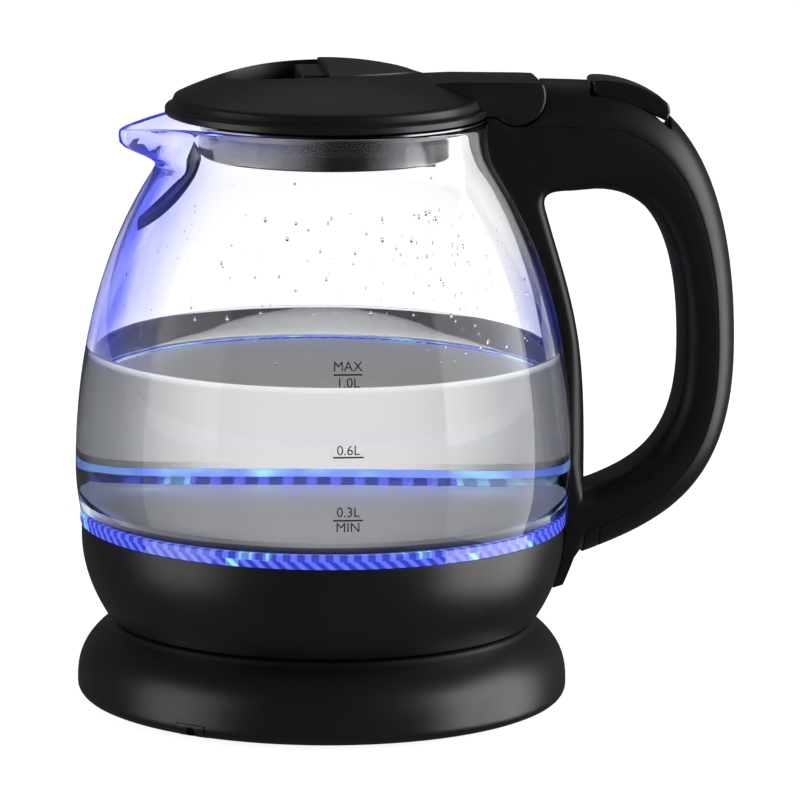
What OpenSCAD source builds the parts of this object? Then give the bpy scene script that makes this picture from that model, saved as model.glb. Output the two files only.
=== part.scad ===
// Cordless electric kettle: a glass jug on a round power base.
// Millimetres, +Z up. The origin is on the turning axis, in the plane the base stands on.
// The handle points to +X and the spout to -X.

/* [Power base] */
// Widest radius of the power base
base_r = 76.5; // [74:0.5:92]
// Height of the power base's outer edge above the table
base_h = 24; // [21:0.5:32]
// Wall of the base cover
base_wall = 2.2; // [1.6:0.1:3]
// How far the rubber feet stand below the bottom plate
foot_h = 1.5; // [1:0.1:3]
// Radius of one rubber foot
foot_r = 5; // [3:0.5:8]
// Radius of the circle that the feet stand on
foot_ring_r = 60; // [40:1:62]
// Height of the power base's widest line
bulge_z = 5; // [3.5:0.1:7]

/* [Socket and contacts] */
// Radius of the socket's raised hub
socket_r = 16.5; // [16:0.1:18.5]
// Height of the hub above the base's top
socket_rise = 8.5; // [7:0.1:9]
// Radius of the centre contact pin
live_pin_r = 2.4; // [1.8:0.1:2.8]
// Middle radius of the neutral contact ring
neutral_r = 9; // [8.6:0.1:9.4]
// Middle radius of the earth contact ring
earth_r = 13.7; // [13.4:0.1:14]
// Thickness of the contact rings
ring_t = 1; // [0.6:0.1:1.2]

/* [Jug bottom] */
// Radius of the jug's foot, and of the base's upper edge under it
jug_foot_r = 66.5; // [64:0.5:70]
// Outer radius of the lower shell at its top
shell_r = 75.3; // [74.5:0.1:84]
// Height of the lower shell
shell_h = 30; // [28:0.5:40]
// Wall of the lower shell
shell_wall = 2.2; // [1.6:0.1:2.6]
// Visible height of the clear light ring
ring_h = 4.4; // [4:0.1:7]
// Thickness of the heating plate
plate_t = 0.8; // [0.5:0.1:1.2]
// Depth of the heating plate's top below the foot of the glass
plate_drop = 2.6; // [2:0.1:3.2]
// Radius of the heating element's bend
element_r = 40; // [34:1:44]
// Radius of the heating element's tube
element_tube_r = 3.2; // [2.5:0.1:3.4]

/* [Glass] */
// Largest outer radius of the glass
glass_r = 77.2; // [75:0.1:92]
// Outer radius of the glass at its foot
glass_foot_r = 75.8; // [75:0.1:90]
// Outer radius of the glass at its rim
neck_r = 50; // [46:0.5:56]
// Height of the glass from foot to rim
glass_h = 122; // [105:1:150]
// Height of the widest line above the foot of the glass
belly_rise = 13; // [8:0.5:20]
// Outer radius where the shoulder turns up into the neck
shoulder_r = 55.7; // [52:0.1:62]
// Depth of that turn below the rim
shoulder_drop = 20.4; // [17:0.1:24]
// Wall of the glass
glass_wall = 2.5; // [2:0.1:3.5]
// Reach of the spout's lip beyond the neck
spout_reach = 14; // [8:0.5:18]
// Depth of the spout below the rim
spout_depth = 15.4; // [12:0.1:18]
// How far the spout's lip dips below the rim
spout_dip = 3; // [1:0.1:4]

/* [Neck collar and filter] */
// Outer radius of the collar's skirt
collar_r = 38.4; // [37:0.1:40]
// Wall of the collar
collar_wall = 1.5; // [1.2:0.1:1.8]
// Depth of the skirt below the rim
collar_depth = 11.4; // [10:0.1:13]
// Thickness of the collar's lip over the glass rim
collar_lip = 0.8; // [0.6:0.1:1]
// Width of the spout filter
filter_w = 24; // [18:0.5:28]
// Width of the filter frame's rails
filter_rail = 2.4; // [1.6:0.1:3]
// Thickness of the filter frame
filter_t = 1.4; // [1:0.1:2]

/* [Lid] */
// Radius of the lid's rim
lid_r = 49.7; // [46:0.1:56]
// Height of the lid's rim ledge
lid_edge = 2.6; // [2:0.1:4]
// Height of the dome's top above the lid's underside
lid_rise = 17.4; // [16.8:0.1:19]
// Wall of the lid
lid_wall = 2.2; // [1.6:0.1:2.4]
// Half length of the finger well
well_len = 31; // [26:0.5:32]
// Half width of the finger well
well_w = 22; // [18:0.5:24]
// Depth of the finger well below the dome's top
well_depth = 10.5; // [9:0.1:11]
// Outer radius of the plug under the lid
plug_r = 35; // [32:0.5:35.2]
// Widest opening of the lid in degrees
lid_open = 80; // [60:1:85]

/* [Hinge] */
// Distance of the hinge pin behind the glass neck
hinge_back = 8; // [7.5:0.1:10]
// Height of the hinge pin above the rim of the glass
hinge_up = 7.6; // [7.2:0.1:8]
// Radius of the lid arm's round end
arm_end_r = 9; // [8.5:0.1:9.5]
// Width of the lid arm
arm_w = 25; // [20:0.5:25.5]
// Height of the arm's top above the rim of the glass
arm_top = 13.6; // [13:0.1:14]
// Radius of the hinge pin
hinge_pin_r = 1.5; // [1.2:0.1:2]

/* [Handle] */
// Width of the handle
handle_w = 26; // [25.5:0.5:32]
// Clear gap for the fingers, from strap to grip
finger_gap = 29; // [26:0.5:38]
// Thickness of the grip from front to back
grip_t = 18.6; // [16:0.1:24]
// Thickness of the strap against the glass
strap_t = 4.8; // [4:0.1:8]
// Wall of the handle's shells
handle_wall = 2.4; // [1.8:0.1:3]
// Share of the section that the outer shell takes
seam_share = 0.4; // [0.34:0.01:0.46]
// Depth of the handle's block below the arm's top
block_h = 36.7; // [32:0.5:40]
// Height of the grip's middle above the foot of the glass
grip_mid = 48.6; // [40:0.5:56]
// Height of the lower root's top above the foot of the glass
root_top = 6.6; // [4:0.1:9]
// Height of the lower root
root_h = 24.4; // [20:0.1:26]

/* [Switch] */
// Half width of the rocker switch
rocker_w = 7.8; // [6:0.1:8.5]
// Share of the handle's top bend that the rocker covers
rocker_share = 0.27; // [0.2:0.01:0.28]
// How far the rocker's rear end stands above the handle
rocker_proud = 2.9; // [1:0.1:3.5]
// Travel of the rocker in degrees
rocker_travel = 8; // [4:0.5:10]

/* [Clearances] */
// Gap between the jug and the base, and between a moving and a fixed cover
move_gap = 0.3; // [0.2:0.05:0.5]
// Gap round a piece that is fixed in place
fit_gap = 0.2; // [0.1:0.05:0.3]
// Radial gap of a running fit
run_gap = 0.05; // [0.02:0.01:0.09]
// Gap between the glass and what hugs it
glass_gap = 0.4; // [0.3:0.05:0.6]

/* [Hidden] */
$fn = 96;

black = [0.03, 0.03, 0.035];
dark_grey = [0.12, 0.12, 0.13];
steel = [0.72, 0.73, 0.75];
brass = [0.8, 0.62, 0.28];

// Levels
plateau_rise = 1.7;
plateau_z = base_h + plateau_rise;
jug_z = plateau_z + move_gap;
shell_top = jug_z + shell_h;
glass_z = shell_top + ring_h;
rim_z = glass_z + glass_h;
plate_top = glass_z - plate_drop;
plate_under = plate_top - plate_t;
lip_top = rim_z + collar_lip;
lid_z = lip_top + glass_gap;
dome_top = lid_z + lid_rise;

// Base
edge_round = 3.2;
hub_top = plateau_z + socket_rise;
cover_under = plateau_z - base_wall;
plate_base_t = 2;
plate_base_top = foot_h + plate_base_t;
plate_base_r = base_r - edge_round - base_wall - fit_gap;
wrap_hub_r = 14;
base_screw_ring = 46;
screw_r = 1.5;
screw_head_r = 3;
screw_head_h = 1.6;
boss_wall = 2.2;
gland_angle = 233;
gland_w = 10;
gland_h = 7;
gland_bore_r = 3.2;
gland_in = base_r - 12;
gland_out = base_r + 0.7;

// Socket
slot_gap = 0.7;
flange_r = 24;
flange_t = 3.5;
socket_under_r = 20;
socket_z = 8;
live_well_z = 12;
ring_well_z = 15;
guard_h = 1.2;
guard_r = live_pin_r + run_gap + 3.1;
pin_tip_z = 20;
ring_tip_z = 27;
cavity_top = hub_top + 1.2;
cavity_r = socket_r + 0.6;
unit_r = 22;
unit_z = jug_z + 0.8;
unit_top = cavity_top + 9;

// Jug bottom
ledge_r = 50;
recess_r = 58;
recess_h = 2.3;
ledge_t = 2.2;
bottom_screw_ring = 54;
shell_rise = 26;
rim_up = 5.2;
plate_r = glass_foot_r - glass_wall - 1.1;
light_r = shell_r + 0.8;
light_in_r = plate_r + 0.4;
light_foot_r = plate_r - 1;
light_foot_h = 2.6;
board_z = plate_under - 5;
board_t = 1.4;
board_out_r = light_foot_r - 0.6;
led_r = 1.5;
led_ring = board_out_r - 2.5;
spreader_t = 2;
spreader_r = element_r + 12;
spreader_under = plate_under - spreader_t;
element_arc = 300;

// Places on the handle
jug_side = glass_r + glass_gap;
pin_x = neck_r + hinge_back;
pin_z = rim_z + hinge_up;
seat_r = arm_end_r + 0.35;
top_z = rim_z + arm_top;
strap_x = jug_side + strap_t;
grip_in_x = strap_x + finger_gap;
grip_out_x = grip_in_x + grip_t;
grip_z = glass_z + grip_mid;
gap_top_z = top_z - block_h;
root_top_z = glass_z + root_top;
root_low_z = root_top_z - root_h;
block_x = pin_x + 17.2;
corner_x = strap_x - 13;
corner_z = gap_top_z - 7.3;
half_w = handle_w / 2;
seam_gap = 0.2;
shape_n = 2.8;
strap_end_z = root_low_z - 9;

// Curves ----------------------------------------------------------------------------------

function bez(p, t) = pow(1 - t, 3) * p[0] + 3 * pow(1 - t, 2) * t * p[1]
    + 3 * (1 - t) * t * t * p[2] + pow(t, 3) * p[3];
function bez_list(p, n, first = 0) = [for (i = [first : n]) bez(p, i / n)];
function flip(list) = [for (i = [len(list) - 1 : -1 : 0]) list[i]];
function shift_r(list, d) = [for (p = list) [p[0] + d, p[1]]];
function smooth(t) = let (c = min(max(t, 0), 1)) c * c * (3 - 2 * c);

// Closed skin over rings of points: rings joined one after the other, ends closed or looped.
module skin(rings, looped = false) {
    n = len(rings[0]);
    m = len(rings);
    last = looped ? m - 1 : m - 2;
    sides = [for (i = [0 : last], j = [0 : n - 1], half = [0, 1])
        let (a = i * n + j, b = i * n + (j + 1) % n,
            c = ((i + 1) % m) * n + (j + 1) % n, d = ((i + 1) % m) * n + j)
        half == 0 ? [a, b, c] : [a, c, d]];
    far = (m - 1) * n;
    ends = looped ? [] : [for (j = [0 : n / 2 - 2], half = [0, 1], end = [0, 1])
        let (f = [j, j + 1, n - 2 - j, n - 1 - j], tri = half == 0 ? [f[0], f[1], f[2]] : [f[0], f[2], f[3]])
        end == 0 ? [tri[2], tri[1], tri[0]] : [far + tri[0], far + tri[1], far + tri[2]]];
    polyhedron([for (r = rings) each r], concat(sides, ends), convexity = 8);
}

// Round tube along a list of points in one plane y = const.
function tube_rings(path, r, sides) = [for (i = [0 : len(path) - 1])
    let (a = path[max(i - 1, 0)], b = path[min(i + 1, len(path) - 1)],
        d = (b - a) / norm(b - a), side = [d[2], 0, -d[0]])
    [for (k = [0 : sides - 1]) let (w = 360 * k / sides)
        path[i] + r * (cos(w) * side + sin(w) * [0, 1, 0])]];

module on_ring(r, angles) {
    for (a = angles) rotate([0, 0, a]) translate([r, 0, 0]) children();
}
module ring(r_in, r_out, z_low, z_high) {
    rotate_extrude() translate([r_in, z_low]) square([r_out - r_in, z_high - z_low]);
}
module post(r, z_low, z_high) { translate([0, 0, z_low]) cylinder(r = r, h = z_high - z_low); }
// Upright plate: an outline in X and Z, centred on Y.
module plate_xz(points, width) {
    translate([0, width / 2, 0]) rotate([90, 0, 0]) linear_extrude(width) polygon(points);
}
module rod_y(x, z, r, width) {
    translate([x, width / 2, z]) rotate([90, 0, 0]) cylinder(r = r, h = width);
}
module block(x, y, z) { translate([x[0], y[0], z[0]]) cube([x[1] - x[0], y[1] - y[0], z[1] - z[0]]); }

// Power base -------------------------------------------------------------------------------

function base_edge(z) = base_r - (base_r - jug_foot_r) * pow((z - bulge_z) / (base_h - bulge_z), 2.75);
base_steps = 14;
base_side = [for (i = [0 : base_steps])
    let (z = bulge_z + (base_h - bulge_z) * i / base_steps) [base_edge(z), z]];
base_foot_edge = [for (a = [0 : 15 : 75])
    [base_r - edge_round * (1 - sin(a)), foot_h + (bulge_z - foot_h) * (1 - cos(a))]];
base_inner_side = [for (i = [base_steps : -1 : 0]) let (p = base_side[i])
    [p[0] - base_wall, p[1] - base_wall * i / base_steps]];

module base_cover() color(black) difference() {
    union() {
        rotate_extrude() polygon(concat(base_foot_edge, base_side,
            [[jug_foot_r - 1.5, plateau_z], [socket_r + fit_gap, plateau_z],
                [socket_r + fit_gap, cover_under], [jug_foot_r - base_wall - 1.5, cover_under]],
            base_inner_side, [[base_r - edge_round - base_wall, foot_h]]));
        on_ring(base_screw_ring, [0, 120, 240])
            post(screw_r + boss_wall, plate_base_top + fit_gap, cover_under + 1);
    }
    on_ring(base_screw_ring, [0, 120, 240]) post(screw_r, 0, cover_under - 3);
    rotate([0, 0, gland_angle]) block([gland_in - 3, gland_out + 2],
        [-gland_w / 2 - fit_gap, gland_w / 2 + fit_gap], [0, foot_h + gland_h + fit_gap]);
}

module base_plate() color(dark_grey) difference() {
    union() {
        post(plate_base_r, foot_h, plate_base_top);
        post(wrap_hub_r, 0, foot_h);
    }
    on_ring(base_screw_ring, [0, 120, 240]) {
        post(screw_r + fit_gap, 0, base_h);
        post(screw_head_r + fit_gap, 0, foot_h + 0.9);
    }
    on_ring(foot_ring_r, [45, 135, 225, 315]) post(foot_r + fit_gap / 2, 0, foot_h + 0.8);
    rotate([0, 0, gland_angle]) block([gland_in - 3, gland_out + 2],
        [-gland_w / 2 - fit_gap, gland_w / 2 + fit_gap], [0, foot_h + gland_h]);
}

module base_feet() color([0.2, 0.2, 0.2])
    on_ring(foot_ring_r, [45, 135, 225, 315]) rotate_extrude()
        polygon([[0, 0], [foot_r - 0.6, 0], [foot_r, 0.6], [foot_r, foot_h + 0.7], [0, foot_h + 0.7]]);

module base_screws() color(steel) on_ring(base_screw_ring, [0, 120, 240]) {
    head_top = foot_h + 0.8;
    difference() {
        post(screw_head_r, head_top - screw_head_h + 0.1, head_top);
        block([-2, 2], [-0.4, 0.4], [0, head_top - 0.9]);
    }
    post(screw_r - 0.1, head_top - 0.01, head_top + 12);
}

module cord_gland() color(black) rotate([0, 0, gland_angle]) difference() {
    union() {
        block([gland_in, gland_out - 1.5], [-gland_w / 2, gland_w / 2], [foot_h - 0.7, foot_h + gland_h]);
        block([gland_out - 1.6, gland_out], [-gland_w / 2 + 1, gland_w / 2 - 1],
            [foot_h, foot_h + gland_h - 0.7]);
    }
    translate([gland_in - 1, 0, foot_h + gland_h / 2]) rotate([0, 90, 0])
        cylinder(r = gland_bore_r, h = gland_out - gland_in + 2);
}

module socket_body() color(dark_grey) difference() {
    union() {
        post(socket_under_r, socket_z, cover_under - flange_t);
        post(flange_r, cover_under - flange_t, cover_under);
        rotate_extrude() polygon([[0, cover_under - 1], [socket_r, cover_under - 1],
            [socket_r, hub_top - 1], [socket_r - 1, hub_top], [0, hub_top]]);
    }
    post(live_pin_r + slot_gap, live_well_z, hub_top + 1);
    post(guard_r + run_gap, hub_top - guard_h - 0.1, hub_top + 1);
    ring(neutral_r - ring_t / 2 - slot_gap, neutral_r + ring_t / 2 + slot_gap, ring_well_z, hub_top + 1);
    ring(earth_r - ring_t / 2 - slot_gap, earth_r + ring_t / 2 + slot_gap, ring_well_z, hub_top + 1);
}

// A sprung contact leaf that stands in a slot of the socket.
module contact_leaf(r, width, z_low, z_high) {
    block([r - width / 2, r + width / 2], [-2, 2], [z_low, z_high]);
}
module live_contact() color(brass) contact_leaf(0, 3, live_well_z, pin_tip_z - 0.4);
module neutral_contact() color(brass) on_ring(0, [20, 200])
    contact_leaf(neutral_r, ring_t, ring_well_z, ring_tip_z - 0.4);
module earth_contact() color(brass) on_ring(0, [80, 260])
    contact_leaf(earth_r, ring_t, ring_well_z, ring_tip_z - 0.4);

module socket_guard() color([0.75, 0.75, 0.72])
    ring(live_pin_r + run_gap, guard_r, hub_top - guard_h, hub_top);

// Jug --------------------------------------------------------------------------------------

belly_z = glass_z + belly_rise;
shoulder_z = rim_z - shoulder_drop;
glass_side = concat(
    bez_list([[glass_foot_r, glass_z], [glass_foot_r + 0.6, glass_z + 2.9],
        [glass_r, belly_z - 4.9], [glass_r, belly_z]], 3),
    bez_list([[glass_r, belly_z], [glass_r, belly_z + 33.9],
        [shoulder_r + 14.6, shoulder_z - 24.3], [shoulder_r, shoulder_z]], 14, 1),
    bez_list([[shoulder_r, shoulder_z], [shoulder_r - 4.6, shoulder_z + 7.6],
        [neck_r, rim_z - 10.9], [neck_r, rim_z - 2.4]], 9, 1),
    [[neck_r, rim_z]]);

// The spout: how far the neck is drawn out at an angle from -X, as a beak with a round tip.
beak_angle = 43.5;
beak_tip = 5;
function beak(a) = let (soft = sqrt(a * a + beak_tip * beak_tip))
    soft >= beak_angle ? 0 : 1 / cos(beak_angle - soft) - 1;
function spout_out(a, z) = spout_reach * beak(a) / beak(0)
    * smooth((z - (rim_z - spout_depth)) / (spout_depth - 5.4));
glass_turn = [for (i = [0 : 47]) let (u = i / 48 * 360 - 180, k = u / 180)
    180 + 180 * (k * (0.55 + 0.45 * k * k))];

function glass_ring(r, z) = [for (turn = glass_turn)
    let (a = turn - 180, out = spout_out(abs(a), z), rr = r + out)
    [rr * cos(turn), rr * sin(turn), z - spout_dip * out / spout_reach]];

module glass_jug() color([0.8, 0.9, 1, 0.35]) {
    outside = [for (p = glass_side) glass_ring(p[0], p[1])];
    inside = [for (p = flip(glass_side)) glass_ring(p[0] - glass_wall, p[1])];
    skin(concat(outside, inside), looped = true);
}

function shell_edge(z) = shell_r - (shell_r - jug_foot_r)
    * pow(1 - min((z - jug_z) / shell_rise, 1), 2);
shell_side = [for (i = [1 : 12]) let (z = jug_z + 1.2 + (shell_rise - 1.2) * i / 12) [shell_edge(z), z]];

module lower_shell() color(black) difference() {
    union() {
        rotate_extrude() polygon(concat(
            [[recess_r, jug_z], [jug_foot_r - 1, jug_z], [jug_foot_r + 0.4, jug_z + 1]], shell_side,
            [[shell_r, shell_top], [shell_r - shell_wall, shell_top], [shell_r - shell_wall, board_z],
                [board_out_r - 2, board_z], [board_out_r - 2, board_z - 1.6]],
            flip([for (p = shell_side) if (p[1] < board_z - 3) [p[0] - shell_wall, p[1]]]),
            [[jug_foot_r - shell_wall - 1, jug_z + recess_h + ledge_t],
                [ledge_r, jug_z + recess_h + ledge_t], [ledge_r, jug_z + recess_h],
                [recess_r, jug_z + recess_h]]));
        on_ring(bottom_screw_ring, [60, 180, 300])
            post(screw_r + 1.8, jug_z + recess_h + ledge_t - 0.5, jug_z + recess_h + ledge_t + 8);
    }
    on_ring(bottom_screw_ring, [60, 180, 300])
        post(screw_r, jug_z, jug_z + recess_h + ledge_t + 7);
    block([shell_r - 12, shell_r + 2], [-lead_hole_w / 2, lead_hole_w / 2],
        [lead_z - lead_hole_h / 2, lead_z + lead_hole_h / 2]);
}

module bottom_cover() color(dark_grey) difference() {
    post(recess_r - fit_gap, jug_z + 0.2, jug_z + recess_h);
    post(unit_r + fit_gap, 0, shell_top);
    on_ring(bottom_screw_ring, [60, 180, 300]) {
        post(screw_r + fit_gap, 0, shell_top);
        post(screw_head_r + fit_gap, 0, jug_z + 1.5);
    }
}

module bottom_screws() color(steel) on_ring(bottom_screw_ring, [60, 180, 300]) {
    head_top = jug_z + 1.4;
    difference() {
        post(screw_head_r, head_top - 1.2, head_top);
        block([-2, 2], [-0.4, 0.4], [0, head_top - 0.6]);
    }
    post(screw_r - 0.1, head_top - 0.01, head_top + 8);
}

module light_ring() color([0.25, 0.45, 1, 0.6]) rotate_extrude()
    polygon([[light_foot_r, plate_under - light_foot_h], [plate_r, plate_under - light_foot_h],
        [plate_r, shell_top], [light_r - 0.4, shell_top], [light_r, shell_top + 0.6],
        [light_r, glass_z - 0.6], [light_r - 0.4, glass_z], [light_in_r, glass_z],
        [light_in_r, plate_under], [light_foot_r, plate_under]]);

module led_board() color([0.1, 0.35, 0.2]) ring(board_out_r - 10, board_out_r, board_z, board_z + board_t);

led_angles = [for (i = [0 : 7]) 22.5 + 45 * i];
module leds() color([0.5, 0.7, 1]) on_ring(led_ring, led_angles) {
    post(led_r, board_z + board_t, board_z + board_t + 1.2);
    translate([0, 0, board_z + board_t + 1.2]) difference() {
        sphere(r = led_r);
        translate([0, 0, -led_r]) cube(led_r * 2, center = true);
    }
}

module glass_seal() color([0.85, 0.85, 0.83])
    ring(plate_r + 0.05, plate_r + 0.5, glass_z + 0.2, glass_z + 2.2);

module heating_plate() color(steel) rotate_extrude()
    polygon([[0, plate_under], [plate_r, plate_under], [plate_r, plate_under + rim_up],
        [plate_r - plate_t, plate_under + rim_up], [plate_r - plate_t, plate_top + 0.6],
        [plate_r - plate_t - 0.6, plate_top], [0, plate_top]]);

module heat_spreader() color([0.8, 0.8, 0.8]) post(spreader_r, spreader_under, plate_under);

element_z = spreader_under - element_tube_r - 0.05;
module heating_element() color([0.45, 0.45, 0.47]) rotate([0, 0, 180 - element_arc / 2])
    translate([0, 0, element_z]) rotate_extrude(angle = element_arc)
        translate([element_r, 0]) circle(r = element_tube_r);

module element_terminals() color(steel) for (side = [-1, 1])
    rotate([0, 0, 180 + side * element_arc / 2]) translate([element_r, 0, element_z])
        rotate([side * -90, 0, 0]) cylinder(r = element_tube_r / 2, h = 7);

module control_unit() color([0.85, 0.85, 0.82]) difference() {
    union() {
        post(unit_r, unit_z, unit_top);
        for (y = [-17, 17]) translate([0, y, 0]) post(3, unit_top - 1, spreader_under);
    }
    post(cavity_r, unit_z - 1, cavity_top);
    post(live_pin_r + fit_gap, 0, unit_top + 1);
    ring(neutral_r - ring_t / 2 - fit_gap, neutral_r + ring_t / 2 + fit_gap, 0, cavity_top + 5);
    ring(earth_r - ring_t / 2 - fit_gap, earth_r + ring_t / 2 + fit_gap, 0, cavity_top + 5);
}

module live_pin() color(brass) rotate_extrude() polygon(concat([[0, pin_tip_z]],
    [for (a = [15 : 15 : 90]) [live_pin_r * sin(a), pin_tip_z + live_pin_r * (1 - cos(a))]],
    [[live_pin_r, unit_top + 3], [0, unit_top + 3]]));
module neutral_ring() color(brass)
    ring(neutral_r - ring_t / 2, neutral_r + ring_t / 2, ring_tip_z, cavity_top + 5);
module earth_ring() color(steel)
    ring(earth_r - ring_t / 2, earth_r + ring_t / 2, ring_tip_z, cavity_top + 5);

module dry_boil_discs() color([0.75, 0.7, 0.6]) for (x = [-14, 14])
    translate([x, 0, 0]) post(8, spreader_under - 1, spreader_under - 0.2);

// Neck collar and spout filter ---------------------------------------------------------------

spout_open = 84;
neck_in = neck_r - glass_wall - glass_gap;
collar_in = collar_r - collar_wall;
module neck_collar() color(black) {
    ring(collar_in, collar_r, rim_z - collar_depth, lip_top);
    rotate([0, 0, 180 + spout_open / 2]) rotate_extrude(angle = 360 - spout_open)
        polygon([[collar_r - 0.5, rim_z - 2], [neck_in, rim_z - 2], [neck_in, rim_z],
            [neck_r - 0.2, rim_z], [neck_r - 0.2, lip_top], [collar_r - 0.5, lip_top]]);
}

// The filter hangs from the collar and curves down to the glass below the spout.
filter_top = [-collar_r - 0.4, rim_z - collar_depth + 1.5];
filter_low = [-(glass_r - 17.6), shoulder_z - 14];
filter_line = bez_list([filter_top, filter_top + [-3, -9], filter_low + [12, 8], filter_low], 12);
function thick_line(line, low, high) = concat([for (p = line) p + [0, low]],
    flip([for (p = line) p + [0, high]]));
module filter_shape(w, cut) {
    // Seen along the length: straight sides and a round lower end.
    linear_extrude(rim_z) {
        translate([filter_low[0] + w / 2 + cut, -w / 2 + cut])
            square([abs(filter_low[0]) - w / 2, w - 2 * cut]);
        translate([filter_low[0] + w / 2 + cut, 0]) circle(r = w / 2 - cut);
    }
}
module filter_frame() color(black) difference() {
    intersection() {
        plate_xz(thick_line(filter_line, -filter_t, filter_t), filter_w);
        filter_shape(filter_w, 0);
    }
    filter_shape(filter_w, filter_rail);
}
module filter_mesh() color(steel) intersection() {
    plate_xz(thick_line(filter_line, -0.2, 0.2), filter_w);
    filter_shape(filter_w, filter_rail + 0.1);
    block([filter_low[0], filter_top[0] - 0.3], [-filter_w, filter_w], [0, rim_z]);
}

// Handle -------------------------------------------------------------------------------------

// Two outlines of the handle in X and Z, the back and the side that faces the fingers.
top_bend = [[pin_x + 24, top_z - 1.8], [pin_x + 62.2, top_z - 6.4],
    [grip_out_x, grip_z + 41], [grip_out_x, grip_z]];
low_bend = [[grip_out_x, grip_z], [grip_out_x, grip_z - 47],
    [strap_x + 24.9, root_low_z + 9.9], [strap_x - 0.9, root_low_z]];
gap_top_bend = [[pin_x + 25.6, gap_top_z], [grip_in_x - 3.3, gap_top_z],
    [grip_in_x, grip_z + 21.2], [grip_in_x, grip_z]];
gap_low_bend = [[grip_in_x, grip_z], [grip_in_x, grip_z - 30.3],
    [strap_x + 14.7, root_top_z + 5.5], [strap_x, root_top_z]];
top_steps = 14;
low_steps = 14;
top_stations = concat([[[pin_x + 1, top_z], [pin_x + 1, gap_top_z]],
    [[block_x, top_z - 1.1], [block_x, gap_top_z]]],
    [for (i = [0 : top_steps]) [bez(top_bend, i / top_steps), bez(gap_top_bend, i / top_steps)]]);
low_stations = [for (i = [1 : low_steps])
    [bez(low_bend, i / low_steps), bez(gap_low_bend, i / low_steps)]];
cap_steps = 1;
outer_stations = concat(top_stations, [for (i = [0 : low_steps - cap_steps - 1]) low_stations[i]]);
cap_stations = [for (i = [low_steps - cap_steps - 1 : low_steps - 1]) low_stations[i]];
inner_stations = concat([for (i = [1 : len(top_stations) - 1]) top_stations[i]], low_stations);

// One C-shaped section, from the seam round the crown and back along the inside.
section_steps = 12;
function power(v) = sign(v) * pow(abs(v), 2 / shape_n);
function section(from, to, wall) = let (rise = norm(to - from), dir = (to - from) / rise)
    concat(
        [for (i = [0 : section_steps]) let (a = 180 * i / section_steps)
            lift(from, dir, half_w * power(cos(a)), seam_gap + (rise - seam_gap) * power(sin(a)))],
        [for (i = [section_steps : -1 : 0]) let (a = 180 * i / section_steps)
            lift(from, dir, (half_w - wall) * power(cos(a)),
                seam_gap + (rise - seam_gap - wall) * power(sin(a)))]);
function lift(from, dir, y, up) = [from[0] + dir[0] * up, y, from[1] + dir[1] * up];
function seam(s) = s[0] + seam_share * (s[1] - s[0]);

// The handle's front end is hollowed to the round end of the lid's arm.
module handle_outer() color(black) difference() {
    skin([for (s = outer_stations) section(seam(s), s[0], handle_wall)]);
    rod_y(pin_x, pin_z, seat_r, handle_w + 2);
    plate_xz([[rocker_line[0][0] - 0.9, top_z - 9], [rocker_line[0][0] - 0.9, top_z + 5],
        [rocker_end[0] + 0.9, top_z + 5], [rocker_end[0] + 0.9, top_z - 22]], 2 * (rocker_w + 0.5));
}
module handle_end_cap() color(black) translate([-seam_gap, 0, -seam_gap / 2])
    skin([for (s = cap_stations) section(seam(s), s[0], handle_wall)]);
module handle_inner() color(black)
    skin([for (s = inner_stations) flip(section(seam(s), s[1], handle_wall))]);

// The strap hugs the glass and carries the hinge block at its top.
strap_curve = bez_list([[strap_x, root_top_z + 8.3], [strap_x, root_top_z + 50.8],
    [corner_x + 7.6, corner_z - 25.8], [corner_x, corner_z]], 14);
corner_curve = bez_list([[corner_x, corner_z], [corner_x - 1.3, corner_z + 4.4],
    [corner_x + 1.8, gap_top_z], [block_x - fit_gap, gap_top_z]], 6, 1);
bracket_outline = concat(
    [[shell_r - 8, strap_end_z], [shell_r - 1, strap_end_z], [strap_x - 4, root_low_z - 0.4],
        [strap_x - 1.2, root_low_z + 0.6], [strap_x - fit_gap, root_top_z]],
    strap_curve, corner_curve,
    [[block_x - fit_gap, top_z - seam_share * block_h - seam_gap],
        [pin_x, top_z - seam_share * block_h - seam_gap], [neck_r + 1.5, rim_z], [neck_r - 6, rim_z],
        [neck_r - 6, shoulder_z], [glass_r - 20, belly_z + 40], [shell_r - 8, belly_z]]);
jug_outside = concat([[0, 0], [shell_edge(jug_z) + glass_gap, 0]],
    shift_r(shell_side, glass_gap), [[shell_r + glass_gap, shell_top - 1]],
    [[light_r + glass_gap, shell_top - 1], [light_r + glass_gap, glass_z + 1]],
    shift_r([for (p = glass_side) if (p[1] > glass_z + 4) p], glass_gap),
    [[neck_r + glass_gap, rim_z + 20], [0, rim_z + 20]]);
lug_w = 8;
lug_r = 4.5;
lead_z = root_low_z + 5.6;
lead_hole_w = 8;
lead_hole_h = 5;

module handle_bracket() color(black) difference() {
    union() {
        difference() {
            plate_xz(bracket_outline, arm_w);
            rod_y(pin_x, pin_z, seat_r, arm_w + 2);
        }
        block([pin_x - lug_r, pin_x + lug_r], [-lug_w / 2, lug_w / 2], [rim_z - 6, pin_z]);
        rod_y(pin_x, pin_z, lug_r, lug_w);
    }
    rotate_extrude() polygon(jug_outside);
    rod_y(pin_x, pin_z, hinge_pin_r, arm_w);
    block([pin_x + 4, block_x + 1], [-9, 9], [gap_top_z + 5, rim_z - 6]);
    block([shell_r - 12, strap_x + 2], [-lead_hole_w / 2, lead_hole_w / 2],
        [lead_z - lead_hole_h / 2, lead_z + lead_hole_h / 2]);
    translate([shell_r - 12, 0, strap_screw_z]) rotate([0, 90, 0]) cylinder(r = screw_r, h = 40);
    translate([strap_x - 2.6, 0, strap_screw_z]) rotate([0, 90, 0])
        cylinder(r = screw_head_r + fit_gap, h = 20);
}

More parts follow.
